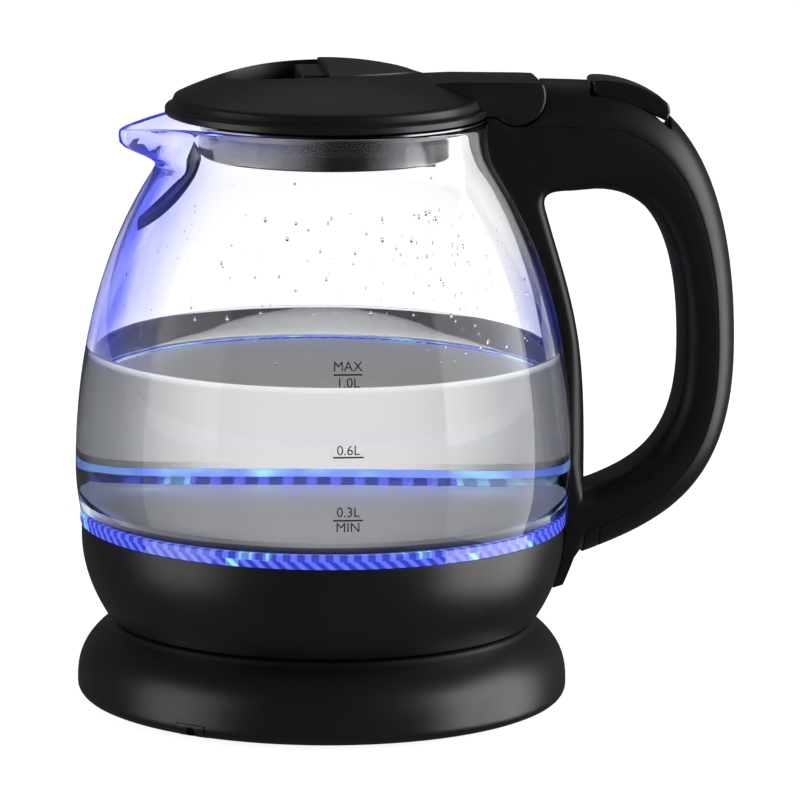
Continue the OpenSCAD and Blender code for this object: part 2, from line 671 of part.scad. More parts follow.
strap_screw_z = root_top_z - 8;
module handle_screws() color(steel) translate([strap_x - 2.5, 0, strap_screw_z]) rotate([0, 90, 0]) {
    cylinder(r = screw_head_r, h = 1.6);
    translate([0, 0, -2]) cylinder(r = screw_r - 0.1, h = 2.01);
}

module hinge_pin() color(steel) rod_y(pin_x, pin_z, hinge_pin_r, arm_w - 3);

// Switch -------------------------------------------------------------------------------------

rocker_steps = 8;
// The rocker's top follows the handle's back and stands proud of it towards its rear end.
rocker_line = [for (i = [0 : rocker_steps]) let (k = i / rocker_steps)
    bez(top_bend, rocker_share * k) + [0, 0.3 + rocker_proud * pow(k, 0.6)]];
rocker_end = rocker_line[rocker_steps];
rocker_outline = concat(rocker_line, [rocker_end + [0.6, -2.6], rocker_end + [-0.6, -5.4],
    rocker_line[0] + [1.6, -5.6], rocker_line[0] + [0, -3]]);
rocker_mid_x = pin_x + 35.5;
rocker_mid_z = top_z - 13.6;
rocker_boss_r = 2.2;
rocker_pin_r = 1.25;

housing_x = [block_x + 3, block_x + 22];
housing_z = [gap_top_z + 6.4, gap_top_z + 17];
module switch_housing() color([0.8, 0.8, 0.76]) difference() {
    union() {
        block(housing_x, [-7.5, 7.5], housing_z);
        for (side = [-1, 1]) translate([0, side * 9, 0]) {
            plate_xz([[rocker_mid_x - rocker_boss_r, rocker_mid_z], [rocker_mid_x - 4, housing_z[1] - 6],
                [rocker_mid_x + 4, housing_z[1] - 6], [rocker_mid_x + rocker_boss_r, rocker_mid_z]], 1.4);
            rod_y(rocker_mid_x, rocker_mid_z, rocker_boss_r, 1.4);
        }
        block([rocker_mid_x - 4, rocker_mid_x + 4], [-9.7, 9.7], [housing_z[1] - 6, housing_z[1] - 4]);
    }
    rod_y(rocker_mid_x, rocker_mid_z, rocker_pin_r, 24);
}
module steam_disc() color([0.75, 0.7, 0.6]) translate([housing_x[0] - 1.2, 0, housing_z[0] + 6])
    rotate([0, 90, 0]) cylinder(r = 6, h = 0.8);
module switch_pin() color(steel) rod_y(rocker_mid_x, rocker_mid_z, rocker_pin_r, 18.8);

module switch_rocker() color([0.05, 0.05, 0.055]) difference() {
    union() {
        plate_xz(rocker_outline, 2 * rocker_w);
        plate_xz([[rocker_mid_x - 3, rocker_mid_z + 6.4], [rocker_mid_x - rocker_boss_r, rocker_mid_z],
            [rocker_mid_x + rocker_boss_r, rocker_mid_z], [rocker_mid_x + 3, rocker_mid_z + 6.4]],
            2 * rocker_w);
        rod_y(rocker_mid_x, rocker_mid_z, rocker_boss_r, 2 * rocker_w);
    }
    rod_y(rocker_mid_x, rocker_mid_z, rocker_pin_r + run_gap, 40);
}

// Two insulated leads run inside the handle from the switch down to the control unit.
lead_r = 1.1;
lead_steps = 8;
lead_line = concat(
    [[housing_x[1] + 0.3, housing_z[0] + 3]],
    [for (i = [8 : 2 : top_steps]) let (s = top_stations[i + 2]) s[0] + 0.55 * (s[1] - s[0])],
    [for (i = [1 : 2 : low_steps - 4]) let (s = low_stations[i]) s[0] + 0.5 * (s[1] - s[0])],
    [[strap_x + 2, lead_z + 1], [strap_x - 4, lead_z], [shell_r - 10, lead_z],
        [unit_r + 10, unit_top - 2], [unit_r + 0.3, unit_top - 3]]);
module switch_leads() color([0.6, 0.1, 0.1]) for (y = [-2.2, 2.2])
    skin([for (r = tube_rings([for (p = lead_line) [p[0], y, p[1]]], lead_r, lead_steps)) r]);

// Lid ----------------------------------------------------------------------------------------

dome_r = lid_r - 2.9;
dome_low = lid_z + 5.6;
dome_rise = dome_top - dome_low;
dome_ball = (dome_r * dome_r + dome_rise * dome_rise) / (2 * dome_rise);
function dome_z(r) = dome_top - dome_ball + sqrt(dome_ball * dome_ball - r * r);
dome_steps = 12;
dome_line = [for (i = [0 : dome_steps]) let (r = dome_r * (1 - i / dome_steps)) [r, dome_z(r)]];
// Lens outline of the finger well: two arcs that meet at its ends.
lens_r = (well_len * well_len + well_w * well_w) / (2 * well_w);
module lens(grow, z_low, z_high) translate([well_x, 0, 0]) intersection_for (side = [-1, 1])
    translate([0, side * (lens_r - well_w), 0]) post(lens_r + grow, z_low, z_high);
well_x = -3;
well_floor = dome_top - well_depth;
grip_split = -0.8;
grip_crown = 0.6;

arm_outline = concat([[lid_r - 24, lid_z], [pin_x, lid_z]],
    [for (a = [-asin((pin_z - lid_z) / arm_end_r) : 7.5 : asin((top_z - pin_z) / arm_end_r)])
        [pin_x + arm_end_r * cos(a), pin_z + arm_end_r * sin(a)]],
    [[pin_x + 6, top_z], [lid_r - 24, top_z]]);

module lid_cover() color(black) difference() {
    union() {
        rotate_extrude() polygon(concat([[lid_r - lid_wall, lid_z], [lid_r, lid_z],
            [lid_r, lid_z + lid_edge], [lid_r - 1.6, lid_z + lid_edge + 0.6]], dome_line,
            [[0, dome_top - lid_wall]],
            flip([for (p = dome_line) if (p[0] < dome_r - 3 && p[0] > 0) p - [0, lid_wall]]),
            [[lid_r - lid_wall - 1.2, lid_z + lid_edge], [lid_r - lid_wall, lid_z + lid_edge - 1]]));
        intersection() {
            lens(lid_wall, well_floor - lid_wall, dome_top);
            rotate_extrude() polygon(concat([[0, lid_z], [dome_r, lid_z]], dome_line));
        }
        plate_xz(arm_outline, arm_w);
        on_ring(lid_screw_ring, lid_screw_angles)
            post(screw_r + boss_wall, lid_z + 3, dome_z(lid_screw_ring) - 1);
    }
    lens(0, well_floor, dome_top + 5);
    post(under_flange_r + fit_gap, lid_z - 1, lid_z + 1 + under_t + fit_gap);
    block([lid_r - 20, pin_x - 9], [-arm_w / 2 + 2, arm_w / 2 - 2], [lid_z - 1, top_z - 2]);
    block([pin_x - lug_r - 0.5, pin_x + 20], [-lug_w / 2 - move_gap, lug_w / 2 + move_gap],
        [lid_z - 1, top_z - 1.3]);
    rod_y(pin_x, pin_z, hinge_pin_r + run_gap, arm_w - 2.6);
    on_ring(lid_screw_ring, lid_screw_angles) post(screw_r, lid_z - 1, dome_z(lid_screw_ring) - 3);
}

module lid_grip() color(dark_grey) difference() {
    intersection() {
        lens(-fit_gap, well_floor, dome_top + 5);
        translate([0, 0, dome_top - dome_ball]) sphere(r = dome_ball + grip_crown);
        block([grip_split, well_len + 10], [-well_w - 5, well_w + 5], [well_floor - 2, dome_top + 6]);
    }
    block([grip_split + 3, well_len - 12], [-well_w + 9, well_w - 9], [well_floor - 1, well_floor + 5]);
}

lid_screw_ring = 33;
lid_screw_angles = [60, 180, 300];
under_flange_r = 44;
under_t = 1.6;
plug_z = rim_z - 9.4;
module lid_underplate() color(black) difference() {
    union() {
        difference() {
            post(plug_r, plug_z, lid_z + 1.5);
            post(plug_r - under_t, plug_z + under_t, lid_z + 2);
        }
        ring(plug_r - 1, under_flange_r, lid_z + 1, lid_z + 1 + under_t);
        on_ring(lid_screw_ring - 4, lid_screw_angles) post(4.4, plug_z + 0.5, lid_z + 2.9);
    }
    on_ring(lid_screw_ring, lid_screw_angles) {
        post(screw_r + fit_gap, 0, dome_top);
        post(screw_head_r + fit_gap, 0, lid_z - 1);
    }
    block([duct_x[0] + 3, duct_x[1] - 5], [-5, 5], [plug_z - 1, plug_z + 3]);
}

duct_x = [plug_r - 28, plug_r - 2];
duct_h = 4.4;
duct_w = 18;
module steam_duct() color(black) difference() {
    block(duct_x, [-duct_w / 2, duct_w / 2], [plug_z - duct_h, plug_z]);
    block([duct_x[0] + 1.5, duct_x[1] - 1.5], [-duct_w / 2 + 1.5, duct_w / 2 - 1.5],
        [plug_z - duct_h + 1.4, plug_z + 1]);
    for (i = [0 : 3]) block([duct_x[0] + 4 + 5 * i, duct_x[0] + 6 + 5 * i], [-5, 5],
        [plug_z - duct_h - 1, plug_z]);
}

module lid_seal() color([0.2, 0.2, 0.2])
    ring(plug_r + 3.6, plug_r + 7, lip_top + 0.2, lid_z + 1);

module lid_screws() color(steel) on_ring(lid_screw_ring, lid_screw_angles) {
    post(screw_head_r, lid_z - 2.6, lid_z - 1);
    post(screw_r - 0.1, lid_z - 1.01, lid_z + 8);
}

// Nodes --------------------------------------------------------------------------------------

base_cover();
base_plate();
base_feet();
base_screws();
cord_gland();
socket_body();
live_contact();
neutral_contact();
earth_contact();
socket_guard();
glass_jug();
light_ring();
led_board();
leds();
glass_seal();
heating_plate();
heat_spreader();
heating_element();
element_terminals();
lower_shell();
bottom_cover();
bottom_screws();
control_unit();
live_pin();
neutral_ring();
earth_ring();
dry_boil_discs();
neck_collar();
filter_frame();
filter_mesh();
handle_bracket();
handle_inner();
handle_outer();
handle_end_cap();
handle_screws();
switch_housing();
steam_disc();
switch_leads();
switch_pin();
hinge_pin();
lid_cover();
lid_grip();
lid_underplate();
steam_duct();
lid_seal();
lid_screws();
switch_rocker();
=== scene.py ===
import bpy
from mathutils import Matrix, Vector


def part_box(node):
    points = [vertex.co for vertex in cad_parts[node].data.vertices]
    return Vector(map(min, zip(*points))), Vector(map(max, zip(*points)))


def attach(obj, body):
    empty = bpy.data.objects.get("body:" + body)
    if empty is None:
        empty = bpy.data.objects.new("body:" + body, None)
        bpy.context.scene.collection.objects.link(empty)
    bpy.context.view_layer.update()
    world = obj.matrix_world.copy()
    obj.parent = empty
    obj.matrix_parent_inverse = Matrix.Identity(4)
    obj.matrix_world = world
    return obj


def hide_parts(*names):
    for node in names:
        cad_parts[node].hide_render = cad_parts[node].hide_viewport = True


bl_info = {
    "name": "Glass Electric Kettle",
    "version": (1, 0, 0),
    "blender": (4, 5, 0),
    "location": "3D View > Sidebar > Kettle",
    "description": "Builds the outer pieces and finishes of a cordless glass kettle on its packed frame",
    "category": "Add Mesh",
}

import math
import random

import bmesh
import bpy
from bpy.props import FloatProperty, FloatVectorProperty, IntProperty, PointerProperty
from mathutils import Matrix, Vector

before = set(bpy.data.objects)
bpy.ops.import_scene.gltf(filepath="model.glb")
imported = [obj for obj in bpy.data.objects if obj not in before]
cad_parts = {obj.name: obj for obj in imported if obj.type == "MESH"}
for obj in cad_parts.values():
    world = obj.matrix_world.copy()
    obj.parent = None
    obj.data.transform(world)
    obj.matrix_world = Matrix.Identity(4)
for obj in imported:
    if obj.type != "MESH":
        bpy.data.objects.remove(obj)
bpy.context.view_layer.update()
MM = 0.001


def low(node, axis=2):
    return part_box(node)[0][axis] / MM


def high(node, axis=2):
    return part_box(node)[1][axis] / MM


# Levels and radii, in millimetres, as the frame holds them ---------------------------------

GLASS_Z = high("light_ring")
RIM_Z = high("glass_jug")
JUG_Z = low("lower_shell")
SHELL_TOP = high("lower_shell")
BASE_R = high("base_cover", 1)
SHELL_R = high("lower_shell", 1)
RING_R = high("light_ring", 1)
GLASS_R = high("glass_jug", 1)
PLATE_Z = high("heating_plate") - 4.4
PLATE_R = high("heating_plate", 1)
LID_Z = low("lid_cover")
DOME_TOP = LID_Z + 16.4
LID_R = high("lid_cover", 1)
COLLAR_LOW = low("neck_collar")
COLLAR_TOP = high("neck_collar")
PIN = Vector([(a + b) / 2 / MM for a, b in zip(*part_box("hinge_pin"))])
GRIP_OUT = high("handle_outer", 0) - 1.3
HANDLE_HALF = high("handle_outer", 1)
ARM_TOP = RIM_Z + 12.1
ARM_HALF = high("handle_bracket", 1)
ROCKER_HALF = high("switch_rocker", 1)
WALL = 2.5
SKIN = 2.2
ARM_ROUND = 9.0
LEAD_TURN = math.radians(233)
NECK_R = 50.0
FOOT_R = 66.5
MOUTH_Z = RIM_Z - 20.4
BELLY_Z = GLASS_Z + 13.0


# Curves -------------------------------------------------------------------------------------


def bend(points, count, first=0):
    """Points along a cubic curve through four controls."""
    a, b, c, d = [Vector(p) for p in points]
    found = []
    for i in range(first, count + 1):
        t = i / count
        found.append(
            a * (1 - t) ** 3 + b * 3 * (1 - t) ** 2 * t + c * 3 * (1 - t) * t * t + d * t**3
        )
    return found


def ease(t):
    t = min(max(t, 0.0), 1.0)
    return t * t * (3 - 2 * t)


GLASS_SIDE = (
    bend([(75.8, GLASS_Z), (76.4, GLASS_Z + 2.9), (GLASS_R, BELLY_Z - 4.9), (GLASS_R, BELLY_Z)], 5)
    + bend([(GLASS_R, BELLY_Z), (GLASS_R, BELLY_Z + 33.9), (70.3, MOUTH_Z - 24.3), (55.7, MOUTH_Z)], 26, 1)
    + bend([(55.7, MOUTH_Z), (51.1, MOUTH_Z + 7.6), (NECK_R, RIM_Z - 10.9), (NECK_R, RIM_Z - 2.4)], 12, 1)
)


def glass_radius(z):
    """Outer radius of the round glass at a height."""
    for a, b in zip(GLASS_SIDE, GLASS_SIDE[1:]):
        if a.y <= z <= b.y:
            return a.x + (b.x - a.x) * (z - a.y) / (b.y - a.y)
    return GLASS_SIDE[0].x if z < GLASS_SIDE[0].y else NECK_R


BEAK_TURN = math.radians(43.5)
BEAK_TIP = math.radians(5.0)
SPOUT_REACH = 14.0
SPOUT_DEPTH = 15.4
SPOUT_DIP = 3.0


def beak(turn):
    soft = math.hypot(turn, BEAK_TIP)
    return 0.0 if soft >= BEAK_TURN else 1 / math.cos(BEAK_TURN - soft) - 1


def spout_out(turn, z):
    """How far the neck is drawn out towards the spout."""
    rise = ease((z - (RIM_Z - SPOUT_DEPTH)) / (SPOUT_DEPTH - 3.4))
    return SPOUT_REACH * beak(turn) / beak(0) * rise


GLASS_TURNS = [
    math.pi * (1 + k * (0.55 + 0.45 * k * k)) for k in [i / 72 - 1 for i in range(144)]
]


def glass_loop(radius, z):
    """One level ring of the glass, drawn out at the spout."""
    ring = []
    for turn in GLASS_TURNS:
        out = spout_out(abs(turn - math.pi), z)
        r = radius + out
        ring.append((r * math.cos(turn), r * math.sin(turn), z - SPOUT_DIP * out / SPOUT_REACH))
    return ring


GRIP_MID_Z = GLASS_Z + 48.6
STRAP_X = 80.9
TAIL_POINT = (STRAP_X, GLASS_Z + 6.2)
STRAP_END = (67.4, MOUTH_Z - 7.0)
TOP_BEND = [
    (PIN.x + 24, ARM_TOP - 0.4),
    (PIN.x + 60, ARM_TOP - 4.7),
    (GRIP_OUT, GLASS_Z + 91),
    (GRIP_OUT, GRIP_MID_Z),
]
LOW_BEND = [
    (GRIP_OUT, GRIP_MID_Z),
    (GRIP_OUT, GLASS_Z + 4.6),
    (107.3, GLASS_Z - 6.2),
    (81.5, GLASS_Z - 15.6),
]
GAP_TOP_Z = RIM_Z - 22
GRIP_IN = GRIP_OUT - 17.3
GAP_TOP_BEND = [
    (PIN.x + 25.6, GAP_TOP_Z),
    (GRIP_IN - 3.3, GAP_TOP_Z),
    (GRIP_IN, GLASS_Z + 71),
    (GRIP_IN, GRIP_MID_Z),
]
GAP_LOW_BEND = [
    (GRIP_IN, GRIP_MID_Z),
    (GRIP_IN, GLASS_Z + 18.3),
    (97.1, GLASS_Z + 12.1),
    TAIL_POINT,
]
STRAP_BEND = [
    (STRAP_X, GLASS_Z + 14.9),
    (STRAP_X, GLASS_Z + 57.4),
    (74.9, MOUTH_Z - 33.0),
    STRAP_END,
]
CORNER_BEND = [
    STRAP_END,
    (66.0, MOUTH_Z - 2.2),
    (69.6, GAP_TOP_Z),
    (75.2, GAP_TOP_Z),
]
SEAM_SHARE = 0.4
TAIL_OUTS = (
    (79.8, 48.4), (77.6, 45.2), (76.5, 42.2), (75.4, 39.4), (74.2, 36.6), (71, 35.6), (67, 35.6),
)


# Shaping ------------------------------------------------------------------------------------


def clear_picks():
    if bpy.context.object is not None and bpy.context.object.mode != "OBJECT":
        bpy.ops.object.mode_set(mode="OBJECT")
    bpy.ops.object.select_all(action="DESELECT")


def named(name):
    piece = bpy.context.object
    piece.name = piece.data.name = name
    return piece


def pick(piece):
    clear_picks()
    piece.hide_set(False)
    piece.select_set(True)
    bpy.context.view_layer.objects.active = piece
    return piece


def edit_all():
    """Opens the active piece in edit mode, with all of it selected."""
    bpy.ops.object.mode_set(mode="EDIT")
    bpy.ops.mesh.select_all(action="SELECT")


def pick_faces(piece, wanted):
    """Selects only the wanted faces, in edit mode."""
    bpy.ops.mesh.select_all(action="DESELECT")
    mesh = bmesh.from_edit_mesh(piece.data)
    for face in mesh.faces:
        face.select = wanted(face)
    bmesh.update_edit_mesh(piece.data)


def tidy(merge=0.000002):
    """Merges doubles, turns the faces outwards and leaves edit mode."""
    bpy.ops.mesh.select_all(action="SELECT")
    bpy.ops.mesh.remove_doubles(threshold=merge)
    bpy.ops.mesh.dissolve_degenerate(threshold=0.0000005)
    bpy.ops.mesh.select_all(action="SELECT")
    bpy.ops.mesh.normals_make_consistent(inside=False)
    bpy.ops.object.mode_set(mode="OBJECT")


def turned(name, outline, steps=160, closed=True):
    """A piece turned on the kettle's axis from an outline of radius and height."""
    clear_picks()
    bpy.ops.mesh.primitive_plane_add(size=MM, location=(0, 0, 0))
    piece = named(name)
    edit_all()
    bpy.ops.mesh.merge(type="CENTER")
    at = Vector((outline[0][0], 0, outline[0][1])) * MM
    bpy.ops.transform.translate(value=at)
    for point in list(outline[1:]) + ([outline[0]] if closed else []):
        to = Vector((point[0], 0, point[1])) * MM
        bpy.ops.mesh.extrude_region_move(TRANSFORM_OT_translate={"value": to - at})
        at = to
    bpy.ops.mesh.select_all(action="SELECT")
    bpy.ops.mesh.remove_doubles(threshold=0.000001)
    bpy.ops.mesh.spin(steps=steps, angle=math.tau, center=(0, 0, 0), axis=(0, 0, 1))
    tidy()
    return piece


def lofted(name, rings, looped=False, capped=True):
    """A skin drawn ring by ring: a circle is extruded along, and each ring is put in its place."""
    clear_picks()
    bpy.ops.mesh.primitive_circle_add(
        vertices=len(rings[0]), radius=MM, fill_type="NGON" if capped and not looped else "NOTHING"
    )
    piece = named(name)
    layer = piece.data.attributes.new("place", "INT", "POINT")
    layer.data.foreach_set("value", list(range(len(rings[0]))))
    bpy.ops.object.mode_set(mode="EDIT")

    def put(ring):
        mesh = bmesh.from_edit_mesh(piece.data)
        place = mesh.verts.layers.int["place"]
        for v in mesh.verts:
            if v.select:
                v.co = Vector(ring[v[place]]) * MM

    bpy.ops.mesh.select_all(action="SELECT")
    put(rings[0])
    for ring in rings[1:]:
        bpy.ops.mesh.extrude_region_move(TRANSFORM_OT_translate={"value": (0, 0, 0)})
        put(ring)
    if looped:
        bpy.ops.mesh.select_mode(type="EDGE")
        bpy.ops.mesh.select_all(action="DESELECT")
        bpy.ops.mesh.select_non_manifold(extend=False)
        bpy.ops.mesh.bridge_edge_loops()
        bpy.ops.mesh.select_mode(type="VERT")
    tidy()
    piece.data.attributes.remove(piece.data.attributes["place"])
    return piece


def extruded(name, points, way, merge=0.000002):
    """A prism: a flat outline of points in space, drawn out along a way."""
    clear_picks()
    bpy.ops.mesh.primitive_circle_add(vertices=len(points), radius=MM, fill_type="NGON")
    piece = named(name)
    for v, p in zip(piece.data.vertices, points):
        v.co = Vector(p) * MM
    edit_all()
    bpy.ops.mesh.extrude_region_move(TRANSFORM_OT_translate={"value": Vector(way) * MM})
    tidy(merge)
    return piece


def cut_out(name, outline, half_width):
    """A plate with an outline in X and Z, centred on Y."""
    points = [(x, -half_width, z) for x, z in outline]
    return extruded(name, points, (0, 2 * half_width, 0))


def block(name, x, y, z):
    clear_picks()
    bpy.ops.mesh.primitive_cube_add(size=1)
    piece = named(name)
    for v in piece.data.vertices:
        v.co = Vector([(r[0] if c < 0 else r[1]) * MM for c, r in zip(v.co, (x, y, z))])
    return piece


def rod(name, x, z, radius, half_width, sides=96):
    clear_picks()
    bpy.ops.mesh.primitive_cylinder_add(
        vertices=sides,
        radius=radius * MM,
        depth=2 * half_width * MM,
        location=(x * MM, 0, z * MM),
        rotation=(math.pi / 2, 0, 0),
    )
    piece = named(name)
    bpy.ops.object.transform_apply(location=True, rotation=True, scale=True)
    return piece


def apply_with(piece, kind, **settings):
    """Adds one modifier, sets it and applies it."""
    pick(piece)
    modifier = piece.modifiers.new(kind.title(), kind)
    for name, value in settings.items():
        setattr(modifier, name, value)
    bpy.ops.object.modifier_apply(modifier=modifier.name)


def carve(piece, *cutters, way="DIFFERENCE"):
    """Cuts, joins or keeps what the cutters share with the piece, and clears them away."""
    for cutter in cutters:
        apply_with(piece, "BOOLEAN", operation=way, object=cutter, solver="EXACT")
        bpy.data.objects.remove(cutter)


def round_edges(piece, width, segments=3, angle=40.0):
    apply_with(
        piece,
        "BEVEL",
        width=width * MM,
        segments=segments,
        limit_method="ANGLE",
        angle_limit=math.radians(angle),
        use_clamp_overlap=True,
        miter_outer="MITER_ARC",
    )


def smooth(piece, angle=35.0):
    pick(piece)
    bpy.ops.object.shade_smooth_by_angle(angle=math.radians(angle))


def joined(name, pieces):
    clear_picks()
    for p in pieces:
        p.select_set(True)
    bpy.context.view_layer.objects.active = pieces[0]
    bpy.ops.object.join()
    return named(name)


FINISHES = {}


def finished(piece, body, slot, finish, *nodes, angle=35.0):
    """Smooths a piece, gives it its finish, and hangs it on its body in place of its nodes."""
    smooth(piece, angle)
    piece.data.materials.clear()
    piece.data.materials.append(FINISHES[finish])
    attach(piece, body)
    if nodes:
        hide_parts(*nodes)


# Finishes -----------------------------------------------------------------------------------


class Signal:
    """One value in a finish, which takes part in sums as a plain number does."""

    def __init__(self, recipe, socket):
        self.recipe, self.socket = recipe, socket

    def math(self, operation, *others):
        return self.recipe.node("ShaderNodeMath", [self, *others], operation=operation)

    def under(self, operation, other):
        """The same sum with the other value first."""
        return self.recipe.node("ShaderNodeMath", [other, self], operation=operation)

    def __add__(self, other):
        return self.math("ADD", other)

    __radd__ = __add__

    def __mul__(self, other):
        return self.math("MULTIPLY", other)

    __rmul__ = __mul__

    def __sub__(self, other):
        return self.math("SUBTRACT", other)

    def __rsub__(self, other):
        return self.under("SUBTRACT", other)

    def __truediv__(self, other):
        return self.math("DIVIDE", other)

    def __rtruediv__(self, other):
        return self.under("DIVIDE", other)

    def __pow__(self, other):
        return self.math("POWER", other)

    def __rpow__(self, other):
        return self.under("POWER", other)


class Recipe:
    """A finish under way: a material, its shader and the values that feed it."""

    def __init__(self, name):
        self.material = bpy.data.materials.new(name)
        self.material.use_nodes = True
        self.tree = self.material.node_tree
        self.shader = self.tree.nodes["Principled BSDF"]

    def feed(self, socket, value):
        if isinstance(value, Signal):
            self.tree.links.new(value.socket, socket)
        elif hasattr(value, "__len__") and len(value) == 3 and socket.type == "RGBA":
            socket.default_value = (*value, 1)
        else:
            socket.default_value = value

    def node(self, kind, values=(), out=0, **settings):
        """Any node: its values by order or by name, and one of its outputs."""
        made = self.tree.nodes.new(kind)
        for name, value in settings.items():
            setattr(made, name, value)
        for key, value in values.items() if isinstance(values, dict) else enumerate(values):
            self.feed(made.inputs[key], value)
        return Signal(self, made.outputs[out])

    def set(self, **values):
        """Sets the shader's own sockets, with spaces written as underscores."""
        for name, value in values.items():
            self.feed(self.shader.inputs[name.replace("_", " ")], value)

    def place(self):
        return self.node("ShaderNodeTexCoord", out="Object")

    def axes(self, vector):
        made = self.node("ShaderNodeSeparateXYZ", [vector])
        return [Signal(self, s) for s in made.socket.node.outputs]

    def edge_on(self):
        """How far a face is turned away from the eye, for gloss and glass."""
        return self.node("ShaderNodeLayerWeight", {"Blend": 0.5}, out="Facing")

    def grain(self, size, detail=2.0, roughness=0.5, stretch=None):
        """Soft noise whose features are about size millimetres."""
        vector = self.place()
        if stretch:
            vector = self.node("ShaderNodeVectorMath", [vector, stretch], operation="MULTIPLY")
        return self.node(
            "ShaderNodeTexNoise",
            {"Vector": vector, "Scale": 1000 / size, "Detail": detail, "Roughness": roughness},
        )

    def span(self, value, start, end, low=0.0, high=1.0):
        return self.node(
            "ShaderNodeMapRange",
            {"Value": value, "From Min": start, "From Max": end, "To Min": low, "To Max": high},
            interpolation_type="SMOOTHSTEP",
        )

    def blend(self, factor, first, second):
        made = self.tree.nodes.new("ShaderNodeMix")
        made.data_type = "RGBA"
        for key, value in ((0, factor), (6, first), (7, second)):
            self.feed(made.inputs[key], value)
        return Signal(self, made.outputs[2])

    def bump(self, height, depth, strength=1.0):
        """Relief of depth millimetres."""
        self.set(
            Normal=self.node(
                "ShaderNodeBump", {"Height": height, "Strength": strength, "Distance": depth * MM}
            )
        )

    def whole_turn(self):
        """Turn round the kettle's axis, from 0 to 1, and the distance from it."""
        x, y, z = self.axes(self.place())
        turn = y.math("ARCTAN2", x) / math.tau + 0.5
        return turn, (x * x + y * y) ** 0.5, z


def moulded(name, colour, rough, grain=0.45, depth=0.012, wear=0.25, coat=0.0):
    """Moulded plastic: a fine spark-eroded grain, uneven gloss and faint rubbing marks."""
    r = Recipe(name)
    cloud = r.grain(38, 3)
    fine = r.grain(grain, 2)
    rubs = r.span(r.grain(7, 4, 0.65, (1.0, 1.0, 0.25)), 0.58, 0.78)
    pale = tuple(min(1.0, c * 1.8 + 0.004) for c in colour)
    r.set(
        Base_Color=r.blend(cloud * 0.5 + rubs * wear * 0.4, colour, pale),
        Roughness=rough + (cloud - 0.5) * 0.12 - rubs * wear * 0.16 + (fine - 0.5) * 0.08,
        Coat_Weight=coat,
        Coat_Roughness=0.12,
    )
    r.bump(fine + cloud * 0.5, depth)
    return r.material


def metal(name, colour, rough, turned_lines=False, grain=0.6, lift=0.0):
    """Bright metal with brushing or a rolled grain, and faint stains; lift paints a glow of the metal's own
    tone into it, standing in for light falling on it.
    """
    r = Recipe(name)
    stain = r.grain(16, 4, 0.6)
    if turned_lines:
        turn, out, z = r.whole_turn()
        lines = r.node(
            "ShaderNodeTexNoise",
            {
                "Vector": r.node("ShaderNodeCombineXYZ", [out * 2400, turn * 6, z * 300]),
                "Scale": 1.0,
                "Detail": 3.0,
            },
        )
    else:
        lines = r.grain(grain, 3, 0.6, (1.0, 0.12, 1.0))
    dull = tuple(c * 0.78 for c in colour)
    # Painted light: emission set by lift, which brightens the metal where no lamp shines.
    r.set(
        Base_Color=r.blend(stain * 0.6 + lines * 0.3, colour, dull),
        Metallic=1.0,
        Roughness=rough + (stain - 0.5) * 0.14 + (lines - 0.5) * 0.12,
        Emission_Color=r.blend(lines * 0.5, colour, dull),
        Emission_Strength=lift,
    )
    r.bump(lines, 0.01, 0.6)
    return r.material


def plated_collar():
    """Smoky plating with a painted dark reflection in a band across the middle of the collar, front and
    back.
    """
    r = Recipe("collar_plated_painted_reflection")
    x = r.axes(r.place())[0]
    # Painted reflection: the plating is near black in a band about x of 2 mm and fades to its pale tone
    # towards the sides.
    painted_reflection_offset = (x - 0.002).math("ABSOLUTE")
    stain = r.grain(16, 4, 0.6)
    pale = r.blend(stain, (0.25, 0.25, 0.26), (0.2, 0.2, 0.21))
    r.set(
        Base_Color=r.blend(r.span(painted_reflection_offset, 0.003, 0.025), (0.012, 0.012, 0.013), pale),
        Metallic=1.0,
        Roughness=0.14 + stain * 0.06,
    )
    r.bump(stain, 0.01, 0.4)
    return r.material


def soft_rubber(name, colour):
    r = Recipe(name)
    dust = r.span(r.grain(3, 4, 0.7), 0.5, 0.8)
    fine = r.grain(0.8, 3)
    pale = tuple(min(1.0, c * 1.4 + 0.02) for c in colour)
    r.set(
        Base_Color=r.blend(dust * 0.6, colour, pale),
        Roughness=0.62 + (fine - 0.5) * 0.2,
    )
    r.bump(fine, 0.03)
    return r.material


def jug_glass(glow):
    """Clear glass with faint waves and a painted blue glow on its edges, on the spout side, low on the
    handle side and at the neck, standing in for the lamps' light carried up the wall.
    """
    r = Recipe("clear_jug_glass_painted_glow")
    x, _, z = r.axes(r.place())
    edge = r.span(r.edge_on(), 0.22, 0.72)
    painted_glow_streak = r.span(r.grain(26, 3, 0.55, (1.0, 1.0, 0.3)), 0.3, 0.62, 0.35, 1.0)
    above = r.span(z, 0.106, 0.118)
    # Painted glow: emission and a blue tint laid on the glass above the water, by where a face sits and how
    # far it is turned from the eye.
    painted_glow_spout_side = r.span(x, 0.004, -0.04)
    painted_glow_handle_side = r.span(x, 0.03, 0.06) * r.span(z, 0.15, 0.12) * 0.55
    neck = r.span(z, 0.172, 0.184) * r.span(x, -0.02, -0.05) * 0.45
    light = (edge * painted_glow_streak * (painted_glow_spout_side + painted_glow_handle_side) + neck) * above
    painted_glow_tint = tuple(0.1 + 0.85 * c for c in glow)
    r.set(
        Base_Color=r.blend(light, (0.962, 0.965, 0.97), painted_glow_tint),
        Roughness=0.0,
        IOR=1.5,
        Transmission_Weight=1.0,
        Emission_Color=r.blend(light, (0.0, 0.0, 0.0), glow),
        Emission_Strength=0.3,
        Specular_Tint=(0.16, 0.16, 0.16),
    )
    r.bump(r.grain(30, 2), 0.12, 0.5)
    return r.material


